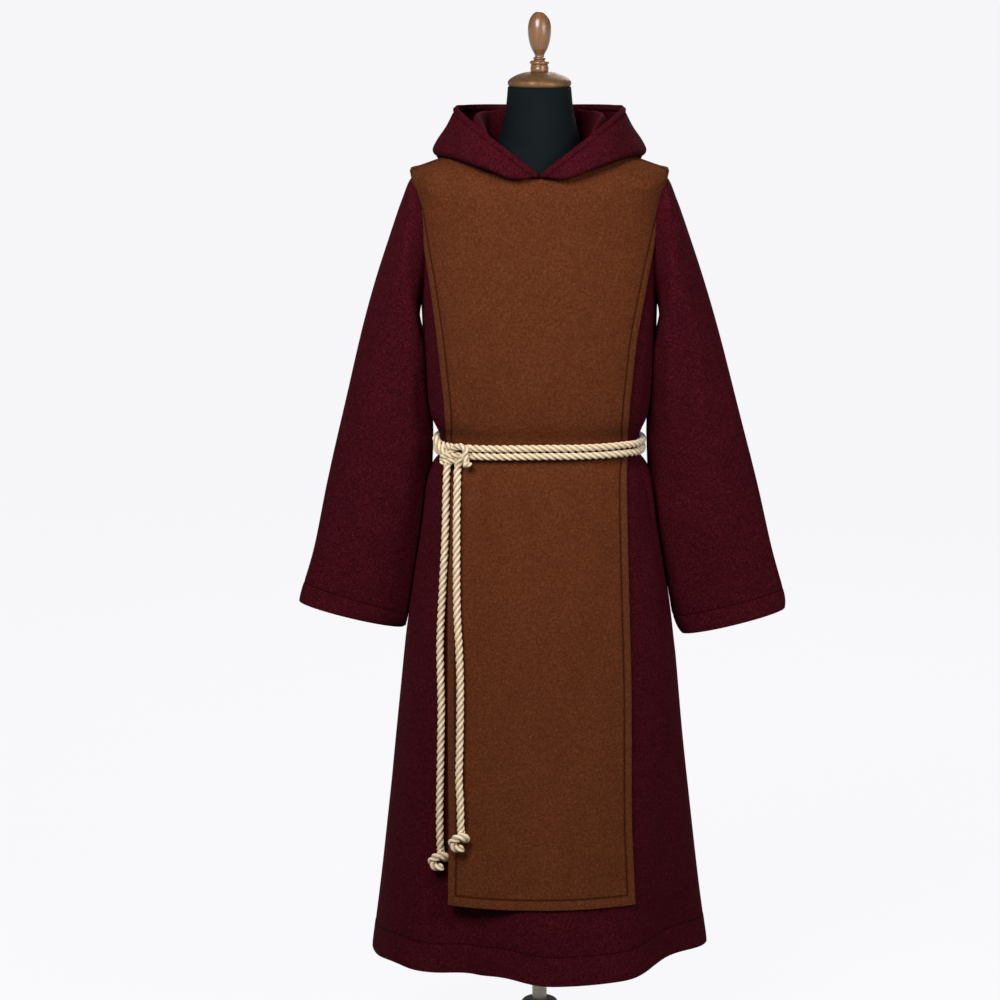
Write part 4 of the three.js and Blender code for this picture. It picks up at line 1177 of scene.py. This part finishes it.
def scapular_relief(base, side, low, pulls, seed):
    """Height of the cloth with its sewn border and without it, and the border's painted shade and highlight.
    """
    flat_top = 1 - fade(base[..., 2], 1380, 1500)
    belt = 1 - 0.9 * gauss(base[..., 2] - BELT_HEIGHT, 22)
    relief = crease_field(base[..., 0], base[..., 2], pulls)
    relief = (relief + waviness(base[..., 0], base[..., 2], 0.75, seed)) * belt * flat_top
    relief = np.maximum(relief, -1.7)
    free = 1 - fade(low, 0, 260)
    lift = (1.6 * np.sin(base[..., 2] / 71.0 + seed) + 1.4) * gauss(side, 30) * belt * flat_top * 0.7
    relief = relief + lift + free * 1.2
    edge_groove = -0.9 * gauss(side - BORDER_STITCH, 1.8) * (low > BOTTOM_STITCH - 2)
    bottom_groove = -0.9 * gauss(low - BOTTOM_STITCH, 1.8) * (side > BORDER_STITCH - 2)
    hem = np.where((side < BORDER_STITCH) | (low < BOTTOM_STITCH), 0.7, 0.0)
    hem = hem * fade(np.minimum(side, low), 0.3, 5)
    # painted shade along the stitching and a painted highlight on the hem's band
    side_mark = hem_painted_shade_and_light(side, BORDER_STITCH, 0.95, 0.3) * (low > BOTTOM_STITCH - 2)
    bottom_mark = hem_painted_shade_and_light(low, BOTTOM_STITCH, 0.95, 0.3) * (side > BORDER_STITCH - 2)
    hem_painted_shade_and_highlight = np.where(np.abs(side_mark) > np.abs(bottom_mark), side_mark, bottom_mark)
    hem_painted_shade_and_highlight = np.where((side < BORDER_STITCH - 2) & (low < BOTTOM_STITCH - 2), -0.3, hem_painted_shade_and_highlight)
    groove = np.minimum(edge_groove, bottom_groove)
    relief = relief + groove + hem
    return relief, relief - hem - groove, hem_painted_shade_and_highlight


def add_scapular(name, is_back, edges, pulls, seed):
    degrees, rings, marks, width, heights = scapular_grid(is_back, edges)
    base = body_surface(degrees, rings, False)
    normal = body_normal(degrees, rings, False)
    side = np.minimum(marks, width - marks)
    low = np.broadcast_to(heights[:, None], side.shape)
    relief, smooth, hem_painted_shade_and_highlight = scapular_relief(base, side, low, pulls, seed)
    from_corner = (np.abs(base) - [CORNER_X, 0, CORNER_Z]) * [1, 0.6, 1]
    stand_out = gauss(np.linalg.norm(from_corner, axis=-1), CORNER_SIZE)[..., None] * CORNER_RISE
    stand_out[..., 0] *= np.sign(base[..., 0])

    def surface(out):
        return keep_to_half(base + normal * out[..., None] + stand_out, is_back)

    outer, inner = surface(LAY + SCAPULAR_WOOL + relief), surface(LAY + smooth)
    uv = uv_grid(marks * MM, low * MM)
    cloth = Cloth()
    add_shell(cloth, outer, inner, uv, groove=hem_painted_shade_and_highlight)
    first = nearest(marks[0], BORDER_STITCH)
    last = marks.shape[1] - 1 - first
    row = nearest(heights, BOTTOM_STITCH)
    for column in (first, last):
        add_stitches(cloth, outer[row:, column], normal[row:, column])
    add_stitches(cloth, outer[row, first:last + 1], normal[row, first:last + 1])
    return cloth.build(name + "_cloth", [BROWN, BROWN_THREAD], [name])


scapular_front = add_scapular("scapular_front", False, FRONT_EDGES, FRONT_PULLS, 5)
scapular_back = add_scapular("scapular_back", True, BACK_EDGES, BACK_PULLS, 8)

# ---------------------------------------------------------------- hood

HOOD_ACROSS = 181
HOOD_CELL = 4.4


def add_hood():
    columns = np.linspace(0, 14, HOOD_ACROSS)
    near = 7 - np.abs(columns - 7)
    side = np.where(columns < 7, -1.0, 1.0)
    degrees = spline(HOOD_SEAM, near)
    ring = np.full_like(near, NECK_RING)
    seam = body_point(degrees, ring, -1.5, False)
    seam[:, 2] = body_surface(degrees, ring, False)[:, 2] + NECK_SEAM
    seam[:, 0] *= side
    full = np.concatenate([HOOD_ROWS * np.array([-1, 1, 1]), HOOD_ROWS[:, -2::-1]], axis=1)
    table = np.stack([seam] + [spline(row, columns) for row in full])
    fine_lines = np.linspace(7, 0, 261)
    fine = spline(table, fine_lines)
    run = lengths(fine)
    marks = stations(edge_marks(RIM_STITCH, 26), run[-1], HOOD_CELL)
    lines = rows_at(marks, run, fine_lines)
    middle = np.stack([spline(table[:, c], lines[:, c]) for c in range(HOOD_ACROSS)], axis=1)
    middle[:, columns < 7, 0] = np.minimum(middle[:, columns < 7, 0], 0)
    middle[:, columns > 7, 0] = np.maximum(middle[:, columns > 7, 0], 0)
    normal = unit(np.cross(np.gradient(middle, axis=1), np.gradient(middle, axis=0)))
    distance = marks.T
    seam_away = lengths(middle, axis=1)
    seam_away = np.abs(seam_away - seam_away[:, [HOOD_ACROSS // 2]])
    relief = hem_profile(distance, RIM_STITCH, 1.0, 2.6) - 0.7 * gauss(seam_away, 2.6)
    swell = waviness(seam_away, distance * 2.2, 0.8, 21) * fade(distance, 16, 50)
    swell = swell * (1 - fade(distance, run[-1][None, :] - 30, run[-1][None, :]))
    middle = middle + normal * swell[..., None]
    outer = middle + normal * (WOOL / 2 + relief)[..., None]
    inner = middle - normal * (WOOL / 2 + relief)[..., None]
    uv = uv_grid(columns[None, :] * 0.06, distance * MM)
    cloth = Cloth()
    # painted shade inside the roll, and in the collar beside the neck
    hood_painted_shade = 0.85 * fade(lines, 2.2, 2.9) * (1 - fade(lines, 5.0, 5.5)) + 0.8 * (1 - fade(lines, 0.3, 1.5))
    add_shell(cloth, outer, inner, uv, groove=hem_painted_shade_and_light(distance, RIM_STITCH, 0.5, 0.0) + hood_painted_shade)
    row = nearest(marks[0], RIM_STITCH)
    for face, sign in ((outer, 1), (inner, -1)):
        add_stitches(cloth, face[row], normal[row] * sign)
    return cloth.build("hood_cloth", [ROBE, ROBE_THREAD], ["hood_left", "hood_right"])


hood = add_hood()

# ---------------------------------------------------------------- rope belt and its knot


STRAND_IN = 6  # how far a strand's end reaches into the knot
STRAND_OUT = 8  # how far it runs straight out of the knot


def strand_end(side, rise):
    angle = KNOT_ANGLE + side * KNOT_SPREAD
    end = belt_point(angle, rise)
    return end, unit(belt_point(angle + side, rise) - end)


def add_belt_strand(name, rise, phase):
    (start, start_away), (finish, finish_away) = (strand_end(side, rise) for side in (1, -1))
    angles = np.linspace(KNOT_ANGLE + 2 * KNOT_SPREAD, KNOT_ANGLE + 360 - 2 * KNOT_SPREAD, 33)
    course = [belt_point(a, rise) for a in angles]
    route = [start - start_away * STRAND_IN, start + start_away * STRAND_OUT, *course,
             finish + finish_away * STRAND_OUT, finish - finish_away * STRAND_IN]
    cloth = Cloth()
    add_tube(cloth, smooth_line(route, 2.2), rope_radius(1.0, phase))
    cloth.build(name + "_laid", [ROPE_LOOK], [name])


add_belt_strand("belt_rope_upper", STRAND_RISE, 0.0)
add_belt_strand("belt_rope_lower", -STRAND_RISE, 1.1)

# The runs of rope in the knot: along the belt to the wearer's left, out, and up.
KNOT_RUNS = [
    [(-32.8, 2, -14.4), (-17.3, 8, -4.3), (-7.1, 10, 5.7), (5.3, 12, 11.8), (16.8, 13, 12.5), (23.3, 13, 8.0),
     (22.1, 13.5, -0.7), (23.4, 13.5, -9.0), (25.2, 12.5, -17.0)],
    [(24.1, 3, -5.3), (8.5, 5, -4.8), (1.5, 10, -4.1), (-12.8, 11, -5.0), (-26.6, 10, -8.4),
     (-33.0, 7, -12.7)],
    [(3.6, 8, -12.4), (-10.7, 11, -14.5), (-21.5, 11, -16.5), (-28.8, 9.5, -19.5)],
    [(-54.1, -2, 22.6), (-43.0, 3, 11.1), (-31.8, 6, 1.1), (-21.0, 6, -4.9)],
]
KNOT_BULBS = [[(24.5, 11, -14), (26.5, 12, -21.5)], [(-25.5, 9, -16.5), (-30.5, 9, -19.5)]]


def add_belt_knot():
    cloth = Cloth()
    for rise in (STRAND_RISE, -STRAND_RISE):
        ends = [strand_end(side, rise) for side in (-1, 1)]
        route = [ends[0][0] + ends[0][1] * 2, (ends[0][0] + ends[1][0]) / 2, ends[1][0] + ends[1][1] * 2]
        add_tube(cloth, smooth_line(route, 2.0), rope_radius(0.98))
    for number, run in enumerate(KNOT_RUNS):
        route = [knot_place(spot) for spot in run]
        add_tube(cloth, smooth_line(route, 1.7), rope_radius(0.94, 0.7 * number, (3.5, 3.5)))
    for bulb in KNOT_BULBS:
        line = smooth_line([knot_place(spot) for spot in bulb], 1.0)
        add_tube(cloth, line, rope_radius(1.32, round_ends=(3, 4.5)))
    cloth.build("belt_knot_rope", [ROPE_LOOK], ["belt_knot"])


add_belt_knot()

# ---------------------------------------------------------------- form and stand

TORSO_ROWS = [
    [0.5, 775, 0.4, 0.4], [90, 775, 64, 62], [130, 775, 92, 90], [138, 776, 97, 95], [145, 780, 103, 100],
    [153, 787, 110, 106], [168, 880, 125, 118], [160, 980, 116, 110], [136, 1080, 99, 94],
    [138, 1130, 100, 95], [166, 1260, 112, 106], [186, 1370, 108, 110],
]
NECK_ROWS = [
    [73, 1610, 79, 1572, 68, 1602], [68.5, 1622, 70, 1596, 65, 1616], [65.5, 1632, 66, 1618, 64, 1630],
    [62, 1648, 62, 1646, 61.5, 1648], [57.5, 1671, 57.5, 1671, 57.5, 1671],
    [54.3, 1705, 54.3, 1705, 54.3, 1705],
]


CHEST_RING = 14  # from this ring up the form follows the robe
FORM_GAP = 3.6  # from the robe's outer surface in to the form


def add_form():
    degrees = np.arange(-180, 180, 3.0)
    lower = [oval(degrees, np.array([w, z, f, z, b, z, 2.3])) for w, z, f, b in TORSO_ROWS]
    shoulders = [body_point(degrees, ring, -FORM_GAP) for ring in range(CHEST_RING, NECK_RING + 1)]
    neck = [oval(degrees, np.array([*row, 2.0])) for row in NECK_ROWS]
    table = np.stack([*lower, *shoulders, *neck])
    places = np.unique(np.concatenate([np.arange(0, 6, 0.5), np.linspace(6, len(table) - 1, 130)]))
    grid = spline(table, places)
    rows, columns = grid.shape[:2]
    quads, uv_quads = grid_quads(rows, columns, True)
    wide = np.linspace(0, 1.1, columns + 1)
    uv = uv_grid(wide[None, :], places[:, None] * 0.06)
    cloth = Cloth()
    cloth.add(grid, quads, uv.reshape(-1, 2)[uv_quads])
    for row, order in ((0, 1), (rows - 1, -1)):
        ring = [row * columns + c for c in range(columns)][::-order]
        cloth.faces.append(ring)
        cloth.uvs.append(np.zeros((columns, 2)))
        cloth.materials.append(0)
    cloth.build("form_cover", [JERSEY], ["form_torso"])


add_form()


def add_turned(name, profile, material, nodes, around=64):
    """A turned piece from a profile of radius and z whose corners are already eased."""
    profile = np.array(profile, float)
    line = spline(profile, np.linspace(0, len(profile) - 1, 6 * (len(profile) - 1) + 1))
    line[:, 0] = np.maximum(line[:, 0], 0)
    inside = line[line[:, 0] > 0.2]
    angle = np.arange(around) * 2 * math.pi / around
    grid = np.stack(np.broadcast_arrays(
        inside[:, None, 0] * np.cos(angle), inside[:, None, 0] * np.sin(angle), inside[:, None, 1]), axis=-1)
    rows, columns = grid.shape[:2]
    quads, uv_quads = grid_quads(rows, columns, True)
    wide = np.arange(columns + 1) / columns
    uv = uv_grid(wide[None, :], lengths(inside)[:, None] * MM)
    cloth = Cloth()
    cloth.add(grid, quads, uv.reshape(-1, 2)[uv_quads])
    cloth.add_fans(0, rows, columns, ((0, 0, profile[0, 1]), (0, 0, profile[-1, 1])))
    cloth.build(name, [material], nodes)


CAP_PROFILE = [
    [0, 1705.3], [30, 1705.3], [48.5, 1705.3], [50.6, 1705.5], [52.6, 1706.4], [54, 1708.6], [54.5, 1711],
    [54.3, 1713.2], [53.5, 1715.3], [51.6, 1717.6], [48.5, 1720], [43.5, 1723], [37, 1726], [29, 1728.6],
    [20, 1730.3], [10, 1730.9], [0, 1731],
]
FINIAL_PROFILE = [
    [0, 1731.3], [8, 1731.3], [14.4, 1731.3], [15.2, 1732], [15.6, 1733.6], [15.6, 1736], [15.2, 1738],
    [15, 1740.6], [15.1, 1742], [14.3, 1742.8], [14.4, 1743.5], [15.9, 1744.2], [16.6, 1745.6],
    [16.5, 1747.2], [15.4, 1748.7], [13, 1749.8], [10.2, 1750.4], [9.4, 1751.1], [10.3, 1752.1],
    [10.9, 1753.3], [10.3, 1754.5],
    [8.7, 1755.3], [8.1, 1756.2], [7.9, 1757.6], [8.3, 1759.6], [9.7, 1762.3], [11.5, 1765.6], [13.4, 1769],
    [15.2, 1773.4], [16.7, 1778.4], [18, 1783.6], [19, 1789], [19.7, 1795], [19.9, 1801], [19.7, 1806.6],
    [19, 1811.6], [17.6, 1817.2], [15.7, 1822], [13, 1826.3], [9.8, 1829.8], [6.4, 1832],
    [3.2, 1832.8], [0, 1833],
]
BASE_PROFILE = [
    [0, 0], [90, 0], [164, 0], [167, 0.2], [169.2, 1.6], [170, 4], [169.6, 8], [168.2, 11.6], [165.4, 14.8],
    [161, 17.2], [154, 18.3], [110, 20], [60, 21.8], [54, 23.2], [48.5, 26], [44, 30.5], [41, 38], [38.6, 47],
    [36.6, 57], [34.4, 67], [32.6, 72.4], [30, 75.8], [27, 77.6], [24, 78], [12, 78], [0, 78],
]
POLE_PROFILE = [
    [0, 78.3], [8, 78.3], [12.4, 78.3], [12.9, 78.6], [13, 79.4], [13, 120], [13, 300], [13, 500], [13, 700],
    [13, 773.4], [12.9, 774.3], [12.4, 774.7], [8, 774.7], [0, 774.7],
]
add_turned("form_cap_bronze", CAP_PROFILE, BRONZE, ["form_cap"])
add_turned("form_finial_wood", FINIAL_PROFILE, WOOD, ["form_finial"])
add_turned("stand_base_round", BASE_PROFILE, STEEL, ["stand_base"], 96)
add_turned("stand_pole_round", POLE_PROFILE, STEEL, ["stand_pole"], 48)
